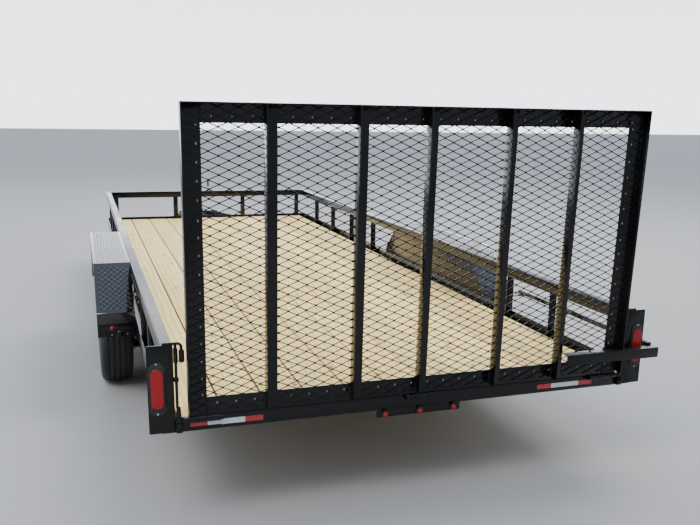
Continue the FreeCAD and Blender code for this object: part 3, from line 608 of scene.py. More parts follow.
def softenSteel():
    for kind, names in steelNodes.items():
        for name in names.split():
            for node in (name.replace("*", "left"), name.replace("*", "right"))[:1 + name.count("*")]:
                paint = "chassisPaint" if node.startswith(underneath) else "blackPaint"
                softCopy(node, "soft_" + node, (steelRounding[kind],), paint)


softenSteel()
print("steelwork softened")

# Deck: boards with rounded edges, and two screws a board over every cross member
deck = {
    "edge": 0.0035,
    "screwHead": 0.0055,
    "screwRise": 0.0012,
    "socket": ((0.35, 0.4), (0.30, -0.9)),        # rings of its head, shares of its radius and rise
    "screwInset": 0.035,         # from each board's edge
    "boards": 11,
    "rows": 11,
    "rowToScrew": 0.025,         # cross member's rear edge to its screws
    "crossLeg": 0.051,
    "stray": (0.005, 0.004),     # screws' random shifts, across and along
}


def layDeck():
    d = deck
    softCopy("deck_boards", "deckPlanks", (d["edge"], 3), "pine", "pine")
    head, rise = d["screwHead"], d["screwRise"]
    screw = barAt("screw", head, (0, 0, 0), rise, "Z", 12)
    insetFaces(screw, lambda face: face.normal.z > 0.9,
               [(head * ring, rise * sink) for ring, sink in d["socket"]])
    low, high = boxOf("deck_boards")
    crossLow, crossHigh = boxOf("cross_members")
    wide = (high.x - low.x) / d["boards"]
    pitch = (crossHigh.y - d["crossLeg"] - crossLow.y) / (d["rows"] - 1)
    spots = []
    for row in range(d["rows"]):
        for board in range(d["boards"]):
            left = low.x + board * wide
            for x in (left + d["screwInset"], left + wide - d["screwInset"]):
                y = crossLow.y + row * pitch + d["rowToScrew"] + random.uniform(-d["stray"][1], d["stray"][1])
                spots.append(((x + random.uniform(-d["stray"][0], d["stray"][0]), y, high.z),))
    finishPiece(copiesAt("deckScrews", screw, spots), "zinc", "root", "zinc")


random.seed(7)
layDeck()
print("deck laid")

# Weld beads: short runs of overlapping drops
weld = {
    "radius": 0.0032,
    "pitch": 0.0042,
    "swell": (0.86, 1.12),
}


def weldRuns(name, runs, body="root", material="blackPaint"):
    # runs is a list of (start, end) points, on the corner that the bead fills.
    spots = []
    for start, end in runs:
        start = Vector(start)
        run = Vector(end) - start
        count = max(2, int(run.length / weld["pitch"]))
        turn = run.to_track_quat("X", "Z").to_euler()
        for i in range(count):
            swell = random.uniform(*weld["swell"])
            spots.append((start + run * ((i + 0.5) / count), turn, (1.0, swell, swell)))
    beads = copiesAt(name, ballAt("drop", weld["radius"], 8, 5, (0.8, 1.0, 1.0)), spots)
    return finishPiece(beads, material, body, "black_paint", 60.0)


railing = {
    "postAcross": 0.045,
    "postAlong": 0.051,
    "postThick": 0.005,
    "sideThick": 0.006,
    "footWeld": 0.02,
    "rearRows": [0.006, 0.665, 1.140],            # post's rear face from the frame's rear
    "foreCount": 4,
    "foreSpacing": 0.6096,
    "frontShares": [-0.478, -0.178, 0.178, 0.478],
}


def weldRailing():
    r = railing
    rear = corner("frame_side_right", y="low").y - r["sideThick"]
    front = corner("frame_side_right", y="high").y
    railLow = corner("top_rail_right", z="low").z
    heel = corner("frame_side_right", x="high").x - r["sideThick"]
    lip = corner("frame_side_right", z="high").z
    rows = [rear + y for y in r["rearRows"]]
    rows += [front - r["postAlong"] - r["foreSpacing"] * (k + 1) for k in range(r["foreCount"])]
    for side, name in ((1, "Right"), (-1, "Left")):
        runs = []
        x0 = side * heel
        x1 = side * (heel - r["postAcross"])
        leg = x0 - side * r["postThick"]
        for y in rows:
            far = y + r["postAlong"]
            runs.append(((x0, y, railLow), (x1, y, railLow)))
            runs.append(((leg, y + r["postThick"], railLow), (leg, far, railLow)))
            runs.append(((x0, far, lip - r["footWeld"]), (x0, far, lip)))
            runs.append(((x0, y, lip - r["footWeld"]), (x0, y, lip)))
        weldRuns("railWelds" + name, runs)
    inside = corner("top_rail_front", x="high").x
    y = corner("front_posts", y="high").y
    runs = []
    for share in r["frontShares"]:
        left = share * 2 * inside - r["postAlong"] / 2
        runs.append(((left, y, railLow), (left + r["postAlong"], y, railLow)))
        runs.append(((left, y, railLow), (left, y - r["postAcross"], railLow)))
    low, high = boxOf("top_rail_front")
    for x in (-inside, inside):
        runs.append(((x, low.y, railLow), (x, low.y, high.z)))
    weldRuns("frontRailWelds", runs)


weldRailing()
print("railing welded")

# Fenders: folded tread plate. Each flat of the fold carries its own grid of lugs.
fender = {
    "edge": 0.0008,
    "flat": 1.260,
    "endTop": 0.065,             # fold over the upright ends, above the boards
    "lugLong": 0.0215,
    "lugWide": 0.0058,
    "lugRise": 0.0010,
    "lugSink": 0.0002,
    "lugPoint": 0.42,            # pointed ends, share of its width
    "lugCrown": (0.80, 0.50, 1),                  # its top, shares of its foot
    "lugPitch": 0.0175,          # between neighbours in a row
    "margin": 0.010,
    "lapTop": 0.4735,            # lower plate lapped over each upright end
    "lapThick": 0.0016,
    "lapInset": 0.001,
}


def makeLugPair():
    # Two lozenges, crossed: each plate's grid repeats them.
    f = fender
    pair = []
    for i, turn in enumerate((45, -45)):
        lug = boxAt("lug", (-f["lugLong"] / 2, -f["lugWide"] / 2, -f["lugSink"]),
                    (f["lugLong"] / 2, f["lugWide"] / 2, f["lugRise"]))
        bevelEdges(lug, lambda a, b: abs(a.z - b.z) > f["lugRise"] * 0.9, f["lugWide"] * f["lugPoint"], 1)
        resizeFaces(lug, lambda face: face.normal.z > 0.9, f["lugCrown"])
        lug.rotation_euler.z = math.radians(turn)
        lug.location = (i * f["lugPitch"], 0, 0)
        pair.append(settle(lug))
    return joinPieces("lugPair", pair)


def lugGrid(name, origin, across, up):
    # A grid of lugs on a flat: origin is its corner, across and up are its sides.
    f = fender
    pitch = f["lugPitch"]
    grid = makeLugPair()
    # Two rows, the second with its lozenges the other way round
    grid = joinPieces(name, [grid, settle(copyPiece(grid, (pitch, pitch, 0), (0, 0, math.pi)))])
    spare = []
    for side, step in ((across, (2 * pitch, 0, 0)), (up, (0, 2 * pitch, 0))):
        room = side.length - 2 * f["margin"]
        pairs = int(room / pitch) // 2
        repeat(grid, max(1, pairs), step)
        spare.append((room - (pairs * 2 - 1) * pitch) / 2 + f["margin"])
    across, up = across.normalized(), up.normalized()
    grid.rotation_euler = Matrix((across, up, across.cross(up))).transposed().to_euler()
    grid.location = Vector(origin) + across * spare[0] + up * spare[1]
    return settle(grid)


def dressFenders():
    f = fender
    low, high = boxOf("fender_right")
    middle = (low.y + high.y) / 2
    half = f["flat"] / 2
    endTop = corner("deck_boards", z="high").z + f["endTop"]
    # The folded line over the top, from the rear end's fold to the front end's, as (y, z)
    fold = [(low.y, endTop), (middle - half, high.z), (middle + half, high.z), (high.y, endTop)]
    grids = []
    for i, (a, b) in enumerate(zip(fold, fold[1:])):
        # Across the fender and along the fold, so that the lugs face outwards
        grids.append(lugGrid("treadGrid%d" % i, (low.x, a[0], a[1]), Vector((high.x - low.x, 0, 0)),
                             Vector((0, b[0] - a[0], b[1] - a[1]))))
    # The slopes' lugs look darker than their plate, the flat's don't. So they take a copy of the plate's paint
    # with painted shade: less dust in its colour, and less reflection.
    slopes = joinPieces("slopeLugs", [grids[0], grids[2]])
    finishPair(slopes, "slopeLugs", "treadLug", "root", "black_paint", 80.0)
    finishPair(grids[1], "flatLugs", "treadPlate", "root", "black_paint", 80.0)
    for side in ("right", "left"):
        softCopy("fender_" + side, "fenderSkin_" + side, (f["edge"],), "treadPlate")
    laps = []
    inset = f["lapInset"]
    for y0, y1 in ((low.y - f["lapThick"], low.y), (high.y, high.y + f["lapThick"])):
        lap = boxAt("lap", (low.x + inset, y0, low.z + inset), (high.x - inset, y1, f["lapTop"]))
        laps.append(bevelAll(lap, 0.0005))
    finishPair(joinPieces("laps", laps), "fenderLaps")


dressFenders()
print("fenders dressed")


# Gate: one sheet of expanded metal in an angle frame, leaned back about its hinge
gate = {
    "lean": 2.0,
    "longWay": 0.0762,           # diamond, centre to centre
    "shortWay": 0.0351,
    "strandWide": 0.0042,
    "strandThick": 0.0019,
    "strandTilt": 11.0,
    "bondLong": 0.007,
    "sheetStart": (0.75, 0.6),   # the mesh starts beyond the corner, shares of its diamond
    "legBack": -0.0025,          # flat legs' and sheet's backs, from the hinge axis
    "sheetBack": -0.0065,
    "tackOut": 0.0015,
    "tackInset": 0.058,          # weld tacks along the side legs, from the gate's edge
    "tackRadius": 0.0042,
    "tackFlat": (1.0, 0.55, 1.25),
    "bottomTack": 0.0505,        # and along the bottom leg, above its edge
    "stray": (0.002, 0.004),     # tacks' random shifts, along the ends' legs and the side ones
    "leg": 0.076,
    "uprightShares": (0.1544, 0.3354, 0.4826, 0.6616, 0.8207),
    "uprightWide": 0.051,
    "footWeld": (0.014, 0.060),  # uprights' welds, above the bottom edge and below the top one
    "headWeld": (0.050, 0.006),
}


def hingeLine():
    return Vector([j for j in frame["joints"] if j["name"] == "gate_hinge"][0]["pos_m"])


def uprightGate(z):
    # Height along the gate, from a height in the leaned gate's box
    hinge = hingeLine()
    return hinge.z + (z - hinge.z) / math.cos(math.radians(gate["lean"]))


def makeStrandPeriod():
    g = gate
    wide, thick, bond = g["strandWide"], g["strandThick"], g["bondLong"]
    tilt = math.radians(g["strandTilt"])
    rise = g["shortWay"] / 2 - wide * math.cos(tilt)
    back = -wide * math.sin(tilt)
    strand = boxAt("strand", (0, -thick / 2, -wide / 2), (bond / 2, thick / 2, wide / 2))
    strand.rotation_euler.x = -tilt
    settle(strand)
    slope = g["longWay"] / 2 - bond
    editPiece(strand, lambda face: face.normal.x > 0.9)
    for step in ((slope, back, rise), (bond, 0, 0), (slope, -back, -rise), (bond / 2, 0, 0)):
        stepOut(step)
    leaveEdit()
    editPiece(strand, lambda face: abs(face.normal.x) > 0.9)
    bpy.ops.mesh.delete(type="FACE")
    leaveEdit()
    return strand


def weaveGate():
    g = gate
    low, high = boxOf("gate_mesh_rising")
    half, bottom, top = high.x, uprightGate(low.z), uprightGate(high.z)
    long, short = g["longWay"], g["shortWay"]
    strand = makeStrandPeriod()
    repeat(strand, math.ceil(2 * half / long) + 1, (long, 0, 0), use_merge_vertices=True,
           merge_threshold=0.0001)
    sheet = joinPieces("expandedMetal", [strand, settle(copyPiece(strand, (long / 2, 0, short / 2)))])
    repeat(sheet, math.ceil((top - bottom) / short) + 1, (0, 0, short))
    sheet.location = (-half - long * g["sheetStart"][0], hingeLine().y + g["legBack"] - g["strandThick"],
                      bottom - short * g["sheetStart"][1])
    settle(sheet)
    cuts = [((side * half, 0, 0), (side, 0, 0)) for side in (-1, 1)]
    cuts += [((0, 0, bottom), (0, 0, -1)), ((0, 0, top), (0, 0, 1))]
    for point, normal in cuts:
        editPiece(sheet)
        bpy.ops.mesh.bisect(plane_co=point, plane_no=normal, use_fill=True, clear_outer=True)
        leaveEdit()
    faceOutwards(sheet)
    finishPiece(turnGate(sheet), "blackPaint", "gate", "black_paint", 30.0)
    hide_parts("gate_mesh_rising", "gate_mesh_falling")


def tackGate():
    # Weld tacks that hold the sheet on its frame, then the beads at the frame's joints
    g = gate
    low, high = boxOf("gate_side_right")
    half, bottom, top = high.x, uprightGate(low.z), uprightGate(high.z)
    sheet = hingeLine().y + g["sheetBack"]
    y = sheet + g["tackOut"]
    spots = []
    z = bottom + g["bottomTack"] + g["shortWay"]
    while z < top - g["tackInset"]:
        for x in (g["tackInset"] - half, half - g["tackInset"]):
            spots.append(((x, y, z + random.uniform(-g["stray"][1], g["stray"][1])),))
        z += 2 * g["shortWay"]
    x = -half + g["tackInset"] * 2
    while x < half - g["tackInset"]:
        for z in (bottom + g["bottomTack"], top - g["bottomTack"]):
            spots.append(((x, y, z + random.uniform(-g["stray"][0], g["stray"][0])),))
        x += g["longWay"]
    tacks = copiesAt("meshTacks", ballAt("tack", g["tackRadius"], 10, 6, g["tackFlat"]), spots)
    finishPiece(turnGate(tacks), "bareWeld", "gate", "black_paint", 60.0)
    back = hingeLine().y + g["legBack"]
    runs = []
    for x in (g["leg"] - half, half - g["leg"]):
        runs.append(((x, back, bottom), (x, back, bottom + g["leg"])))
        runs.append(((x, back, top - g["leg"]), (x, back, top)))
    for share in g["uprightShares"]:
        left = -half + 2 * half * share
        for x in (left, left + g["uprightWide"]):
            runs.append(((x, sheet, bottom + g["footWeld"][0]), (x, sheet, bottom + g["footWeld"][1])))
            runs.append(((x, sheet, top - g["headWeld"][0]), (x, sheet, top - g["headWeld"][1])))
    turnGate(weldRuns("gateWelds", runs, "gate"))


weaveGate()
print("gate's expanded metal woven")
tackGate()
print("gate welded")



# Wheels: ribbed tyres on eight-window steel wheels. All are modelled about X at the origin.
tyre = {
    "bead": 0.198,
    "treadHalf": 0.0715,
    "crownFall": 0.0035,         # tread's edge below its middle
    "grooves": (-0.0475, -0.0165, 0.0165, 0.0475),
    "grooveWide": 0.0075,
    "grooveDeep": 0.0070,
    "grooveSlope": 0.0012,
    "steps": 96,
    "sipeWide": 0.0012,
    "sipeDeep": 0.0045,
    "ringShares": (0.66, 0.25),  # moulded rings, shares of the wall's height
    "ringWide": 0.0020,
    "ringRise": 0.0009,
    # side wall, from the tread to the bead: shares of the half width and of the wall's height
    "side": ((0.815, 0.955), (0.905, 0.905), (0.955, 0.82), (0.985, 0.72), (1.0, 0.60), (1.0, 0.52),
             (0.985, 0.40), (0.955, 0.30), (0.905, 0.20), (0.85, 0.125), (0.80, 0.07), (0.745, 0.0)),
}
wheel = {
    "steps": 80,
    "windows": 8,
    "windowHalf": 13.6,          # degrees
    "windowEdge": 13.5,
    "windowInner": 0.103,
    "windowOuter": 0.159,
    "windowCorner": 0.010,
    "discThick": 0.0045,
    "rounding": 0.0009,
    "nuts": 5,
    "nutCircle": 0.05715,
    "nutRadius": 0.0122,
    "nutLong": 0.019,
    # rim, across and radius: over the tyre's side, then back along the open side
    "rim": ((0.0790, 0.2080), (0.0745, 0.2065), (0.0700, 0.1975), (0.0460, 0.1960), (0.0300, 0.1800),
            (-0.0060, 0.1780), (-0.0210, 0.1955), (-0.0700, 0.1975), (-0.0745, 0.2065), (-0.0790, 0.2080),
            (-0.0800, 0.2040), (-0.0768, 0.2015), (-0.0728, 0.1935), (-0.0230, 0.1915), (-0.0070, 0.1742),
            (0.0310, 0.1762), (0.0475, 0.1920), (0.0728, 0.1935), (0.0768, 0.2015), (0.0800, 0.2040)),
    "disc": ((0.0340, 0.0385), (0.0345, 0.0600), (0.0335, 0.0760), (0.0265, 0.0900), (0.0240, 0.0980),
             (0.0240, 0.1030), (0.0275, 0.1300), (0.0300, 0.1590), (0.0292, 0.1680), (0.0240, 0.1800),
             (0.0160, 0.1885)),
    "hub": ((0.0200, 0.0), (0.0200, 0.0380), (0.0445, 0.0380), (0.0460, 0.0365), (0.0460, 0.0300),
            (0.0485, 0.0300), (0.0490, 0.0285), (0.0720, 0.0275), (0.0775, 0.0240), (0.0795, 0.0160),
            (0.0800, 0.0)),
    "drum": ((-0.0500, 0.1300), (-0.0440, 0.1300), (-0.0430, 0.1262), (0.0150, 0.1250), (0.0280, 0.1120),
             (0.0295, 0.0360), (0.0220, 0.0360), (0.0200, 0.1090), (0.0120, 0.1170), (-0.0500, 0.1190)),
    "valveRadius": 0.0045,
    "valveLong": 0.030,
    "valveTip": 0.008,
    "valvePlace": 0.183,         # its radius on the wheel
}


def reachOf(point):
    return math.hypot(point.y, point.z)


def makeTyre(radius, half):
    t = tyre
    wide, slope, deep = t["grooveWide"] / 2, t["grooveSlope"], t["grooveDeep"]
    line = [(-t["treadHalf"], 0)]
    for middle in t["grooves"]:
        line += [(middle - wide, 0), (middle + slope - wide, deep)]
        line += [(middle + wide - slope, deep), (middle + wide, 0)]
    line.append((t["treadHalf"], 0))
    fall = t["crownFall"] / t["treadHalf"] ** 2
    tread = [(x, radius - fall * x * x - depth) for x, depth in line]
    wall = radius - t["bead"]
    side = [(across * half, t["bead"] + share * wall) for across, share in t["side"]]
    piece = turnedPiece("tyre", tread + side + [(-x, r) for x, r in reversed(side)], "X", t["steps"])
    # Narrow cuts across the outer ribs, then the moulded rings on both side walls
    rib = t["grooves"][-1] + wide - 0.001
    crown = radius - t["crownFall"] * 1.2

    def acrossRib(a, b):
        return abs(a.x - b.x) > 0.01 and min(abs(a.x), abs(b.x)) > rib and min(reachOf(a), reachOf(b)) > crown
    editPiece(piece, edges=acrossRib)
    bpy.ops.mesh.bevel(offset=t["sipeWide"], offset_type="OFFSET", segments=1, affect="EDGES")
    bpy.ops.mesh.select_mode(type="FACE")
    bpy.ops.mesh.extrude_region_shrink_fatten(TRANSFORM_OT_shrink_fatten={"value": -t["sipeDeep"]})
    leaveEdit()
    for share in t["ringShares"]:
        ring = t["bead"] + share * wall
        insetFaces(piece, lambda face: abs(face.normal.x) > 0.6 and abs(reachOf(face.center) - ring) < 0.006,
                   [(t["ringWide"], t["ringRise"])])
    return piece


def makeDisc():
    w = wheel
    disc = turnedPiece("disc", w["disc"], "X", w["steps"], closed=False)
    turn = 360.0 / w["windows"]
    inner, outer = w["windowInner"], w["windowOuter"]

    def offWindow(point):
        # Degrees from the middle of the nearest window
        return abs((math.degrees(math.atan2(point.y, point.z)) % turn) - turn / 2)

    def inWindow(face):
        return inner < reachOf(face.center) < outer and offWindow(face.center) < w["windowHalf"]

    def atCorner(point):
        reach = reachOf(point)
        atEnd = min(abs(reach - inner), abs(reach - outer)) < 0.0005
        return atEnd and abs(offWindow(point) - w["windowEdge"]) < 0.3
    editPiece(disc, inWindow)
    bpy.ops.mesh.delete(type="FACE")
    leaveEdit()
    editPiece(disc, points=atCorner)
    bpy.ops.mesh.bevel(offset=w["windowCorner"], segments=4, affect="VERTICES")
    leaveEdit()
    useModifier(disc, "SOLIDIFY", thickness=w["discThick"], offset=-1.0)
    return bevelAll(disc, w["rounding"], 2, 45.0)


def makeNuts():
    w = wheel
    nut = barAt("nut", w["nutRadius"], (w["disc"][1][0] - 0.001, 0, 0), w["nutLong"], "X", 6)
    editPiece(nut, lambda side: side.normal.x > 0.9)
    for ring, step in ((0.18, 0.0022), (0.3, -0.004)):
        bpy.ops.mesh.inset(thickness=w["nutRadius"] * ring, depth=0)
        bpy.ops.transform.translate(value=(step, 0, 0))
    leaveEdit()
    bevelAll(nut, w["rounding"], 2, 40.0)
    turns = [2 * math.pi * i / w["nuts"] for i in range(w["nuts"])]
    reach = w["nutCircle"]
    return copiesAt("nuts", nut, [((0, reach * math.sin(t), reach * math.cos(t)), (-t, 0, 0)) for t in turns])


def makeValve():
    w = wheel
    valve = barAt("valve", w["valveRadius"], (w["valveLong"], 0, 0), w["valveLong"], "X", 16)
    editPiece(valve, lambda face: face.normal.x > 0.9)
    bpy.ops.mesh.inset(thickness=0.0008, depth=0)
    stepOut((w["valveTip"], 0, 0))
    leaveEdit()
    turn = math.pi / w["windows"]
    valve.location = (0, w["valvePlace"] * math.sin(turn), w["valvePlace"] * math.cos(turn))
    return settle(valve)


def fitWheels():
    w = wheel
    low, high = boxOf("tyre_rear_right")
    radius, half = (high.z - low.z) / 2, (high.x - low.x) / 2
    # name, pattern, finish, slot, smoothing
    kinds = [("tyreSkin", makeTyre(radius, half), "rubber", "tyre_rubber", 30.0),
             ("wheelRim", turnedPiece("rim", w["rim"], "X", w["steps"]), "wheelWhite", "wheel_paint", 40.0),
             ("wheelDisc", makeDisc(), "wheelWhite", "wheel_paint", 40.0),
             ("wheelHub", turnedPiece("hub", w["hub"], "X", 40, closed=False), "zinc", "wheel_paint", 30.0),
             ("brakeDrum", turnedPiece("drum", w["drum"], "X"), "chassisPaint", "wheel_paint", 30.0),
             ("wheelNuts", makeNuts(), "zinc", "wheel_paint", 30.0),
             ("valveStem", makeValve(), "rubber", "wheel_paint", 30.0)]
    replaced = {"tyreSkin": "tyre_", "wheelRim": "wheel_"}
    for row in ("rear", "front"):
        for side in ("right", "left"):
            place = corner("tyre_%s_right" % row)
            end = row + "_" + side
            for name, pattern, finish, slot, smooth in kinds:
                piece = settle(copyPiece(pattern, place))
                if side == "left":
                    right = piece
                    piece = mirrorPiece(right, name)
                    bpy.data.objects.remove(right)
                piece.name = name + "_" + end
                finishPiece(piece, finish, bodyOf["wheel_" + end], slot, smooth)
                if name in replaced:
                    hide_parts(replaced[name] + end)
    for kind in kinds:
        bpy.data.objects.remove(kind[1])


fitWheels()
print("wheels fitted")


# Lamps, latches and other small pieces
def ovalAt(name, x, z, wide, tall, y0, y1):
    # A plate with round ends that faces the rear.
    piece = boxAt(name, (x - wide / 2, y0, z - tall / 2), (x + wide / 2, y1, z + tall / 2))
    bevelEdges(piece, lambda a, b: abs(a.y - b.y) > abs(y1 - y0) * 0.9, wide / 2 - 0.0002, 10)
    return piece


def nutAt(radius, tall, axis, place=(0, 0, 0)):
    # A nut with its far face rounded off and the bolt's end standing out of it.
    nut = barAt("nut", radius, place, tall, axis, 6)
    way = math.copysign(1, tall)
    index = "XYZ".index(axis)
    rings = ((0.12, 0.12), (0.32, 0), (0.02, 0.35))
    insetFaces(nut, lambda face: face.normal[index] * way > 0.9,
               [(radius * ring, abs(tall) * rise) for ring, rise in rings])
    return nut


def domeAt(name, radius, rise, place, way=-1, rings=6, sides=24):
    # A low dome that bulges to the rear, or to the front when way is 1.
    dome = ballAt(name, radius, sides, rings * 2, (1, 1, 1))
    editPiece(dome)
    bpy.ops.mesh.bisect(plane_co=(0, 0, 0), plane_no=(0, 0, -1), use_fill=True, clear_outer=True)
    bpy.ops.mesh.select_all(action="SELECT")
    bpy.ops.transform.resize(value=(1, 1, rise / radius))
    leaveEdit()
    dome.rotation_euler = Vector((0, way, 0)).to_track_quat("Z", "Y").to_euler()
    dome.location = place
    return settle(dome)


tailLamp = {
    "lensWide": 0.050,
    "lensTall": 0.165,
    "ring": 0.0055,
    "ringRise": 0.006,
    "housing": ((0.0022, 0.0016), (0.0012, -0.0030)),                # rings of its face, width and depth
    "flangeWide": 0.064,
    "flangeTall": 0.222,
    "flangeThick": 0.0030,
    "flangeRound": 0.0012,
    "screwReach": 0.1025,        # from the lamp's middle
    "screwHead": 0.0042,
    "screwRise": 0.0022,
    "lensRise": 0.0085,
    "lensRound": 0.0035,
    "lower": 0.008,              # from its node's place
}


def fitTailLamps():
    t = tailLamp
    low, high = boxOf("tail_lamps")
    x = high.x - t["lensWide"] / 2 - t["ring"]
    z = (low.z + high.z) / 2 - t["lower"]
    face = corner("tail_plate_right", y="low").y
    flangeFace = face - t["flangeThick"]
    flange = bevelAll(ovalAt("flange", x, z, t["flangeWide"], t["flangeTall"], flangeFace, face - 0.0001),
                      t["flangeRound"])
    body = ovalAt("body", x, z, t["lensWide"] + t["ring"], t["lensTall"] + t["ring"], face - t["ringRise"],
                  high.y)
    insetFaces(body, lambda side: side.normal.y < -0.9, t["housing"])
    lens = ovalAt("lens", x, z, t["lensWide"], t["lensTall"], face - t["lensRise"], face - 0.001)
    bevelAll(lens, t["lensRound"], 4, 50.0)
    reach = t["screwReach"]
    screws = [domeAt("screw", t["screwHead"], t["screwRise"], (x, flangeFace, z + up), -1, 4, 14)
              for up in (-reach, reach)]
    finishPair(joinPieces("housing", [flange, body]), "lampHousing", "rubber")
    right, left = finishPair(lens, "lampLens", "redLens", "root", "red_lens")
    finishPair(joinPieces("screws", screws), "lampScrews", "zinc")
    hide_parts("tail_lamps")


fitTailLamps()
print("tail lamps fitted")

smallLamp = {
    "radius": 0.0112,
    "ring": 0.0155,
    "ringThick": 0.0050,
    "collarThick": 0.004,
    "rise": 0.0100,
    "idSpacing": 0.163,
    "fromEdge": 0.003,
    "inward": 0.022,             # markers from their nodes' places
    "lower": 0.034,
    # beside each rear marker: a domed cover on a strap with two screws, from the lamp
    "coverPlace": (-0.040, 0, -0.038),
    "coverRadius": 0.023,
    "coverRise": 0.016,
    "coverUp": 0.004,
    "strapHalf": 0.0520,
    "strapTall": 0.0240,
    "strapThick": 0.0015,
    "screwHead": 0.0040,
    "screwRise": 0.0020,
    "screwInset": 0.009,
    "rounding": 0.0010,
}


def fitIdLamps():
    s = smallLamp
    softCopy("id_lamp_bar", "lampBar", (0.0006,))
    place = corner("id_lamp_bar", y="low")
    lenses = []
    rings = []
    for x in (-s["idSpacing"], 0, s["idSpacing"]):
        lenses.append(domeAt("lens", s["radius"], s["rise"] * 0.6, (x, place.y + 0.0004, place.z)))
        ring = barAt("ring", s["ring"], (x, place.y + 0.0035, place.z), s["ringThick"], "Y")
        rings.append(bevelAll(ring, 0.0012))
    finishPiece(joinPieces("idLampLenses", lenses), "redLens", "root", "red_lens")
    finishPiece(joinPieces("idLampRings", rings), "rubber")


def fitMarkers():
    s = smallLamp
    place = corner("marker_lamps", x="high")
    x = place.x - s["radius"] - s["fromEdge"] - s["inward"]
    z = place.z - s["lower"]
    fenderLow, fenderHigh = boxOf("fender_right")
    ends = ((fenderLow.y, -1, "rear", "redLens"), (fenderHigh.y, 1, "front", "amberLens"))
    for y, way, end, finish in ends:
        collar = bevelAll(barAt("collar", s["ring"], (x, y, z), way * s["collarThick"], "Y"), s["rounding"])
        lens = domeAt("lens", s["radius"] * 1.1, s["rise"], (x, y + way * 0.0035, z), way)
        right, left = finishPair(lens, "markerLens_" + end, finish, "root", "red_lens")
        if end == "rear":
            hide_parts("marker_lamps")
        finishPair(collar, "markerCollar_" + end, "rubber")
    # Domed covers with their straps, on the fenders' rear ends
    middle = Vector((x, fenderLow.y, z)) + Vector(s["coverPlace"])
    front = Vector((0, -s["strapThick"], 0))
    reach = Vector((s["strapHalf"], 0, s["strapTall"] / 2))
    strap = bevelAll(boxAt("strap", middle - reach + front, middle + reach), s["rounding"])
    dome = middle + front + Vector((0, 0, s["coverUp"]))
    cover = domeAt("cover", s["coverRadius"], s["coverRise"], dome, -1, 8, 32)
    screws = [domeAt("screw", s["screwHead"], s["screwRise"], middle + front + Vector((x, 0, 0)), -1, 4, 12)
              for x in (s["screwInset"] - s["strapHalf"], s["strapHalf"] - s["screwInset"])]
    finishPair(joinPieces("covers", [strap, cover]), "lampCover")
    finishPair(joinPieces("coverScrews", screws), "coverScrews", "zinc", "root", "zinc")


fitIdLamps()
fitMarkers()
print("small lamps fitted")

# Reflective tape on the rear face: from x, to x, lower and upper edge, colour
tape = {
    "thick": 0.0005,
    "gap": 0.0002,
    "rounding": 0.0015,
    "strips": [
        (-0.996, -0.927, 0.4265, 0.4415, "Red"), (-0.927, -0.873, 0.4265, 0.4415, "White"),
        (-0.873, -0.774, 0.4240, 0.4470, "White"), (-0.774, -0.699, 0.4240, 0.4470, "Red"),
        (0.5935, 0.6685, 0.4270, 0.4480, "Red"), (0.6685, 0.8163, 0.4270, 0.4480, "White"),
        (0.8163, 0.8888, 0.4270, 0.4480, "Red"),
    ],
}


def stickTape():
    thick = tape["thick"]
    y = corner("frame_rear", y="low").y
    strips = {"Red": [], "White": []}
    for x0, x1, z0, z1, colour in tape["strips"]:
        strip = boxAt("strip", (x0 + tape["gap"], y - thick, z0), (x1 - tape["gap"], y, z1))
        bevelEdges(strip, lambda a, b: abs(a.y - b.y) > thick * 0.9, tape["rounding"], 3)
        strips[colour].append(strip)
    for colour, pieces in strips.items():
        finishPiece(joinPieces("tape" + colour, pieces), colour.lower() + "Tape")


stickTape()
print("tape stuck on")

latch = {
    "rod": 0.006,
    "sleeve": 0.009,
    "eye": 0.01035,
    "barReach": 0.051,           # bar's outer end from the rod, over the rail
    "barPast": 0.008,
    "bend": 0.015,
    "bendDrop": 0.012,
    "sleeveLow": 0.012,          # top sleeve below the rail's top
    "sleeveTall": 0.060,
    "eyeDrop": 0.132,
    "eyeTall": 0.018,
    "paddleWide": 0.022,
    "paddleTall": 0.056,
    "paddleThick": 0.009,
    "paddleLow": 0.008,
    "footTall": 0.112,
    "footWide": 0.026,
    "footDeep": 0.012,
    "footInset": 0.001,
    "footTaper": 0.62,
    "pivotPlace": (0.014, 0.030),
    "pivotRadius": 0.0125,
    "pivotThick": 0.006,
    "pivotNut": (0.0095, -0.008),                 # radius and height
}


def bendBar(start, bendMiddle):
    # The latch's bar, from its round outer end: inwards, round the bend, and down
    l = latch
    bpy.ops.mesh.primitive_circle_add(vertices=16, radius=l["rod"], fill_type="NGON", location=start,
                                      rotation=Vector((-1, 0, 0)).to_track_quat("Z", "Y").to_euler())
    bar = justAdded("bar")
    editPiece(bar)
    stepOut((-l["barReach"] - l["barPast"], 0, 0))
    bpy.ops.mesh.spin(steps=6, angle=math.radians(-90.0), center=bendMiddle, axis=(0, -1, 0))
    stepOut((0, 0, -l["bendDrop"]))
    leaveEdit()
    faceOutwards(bar)
    return bar


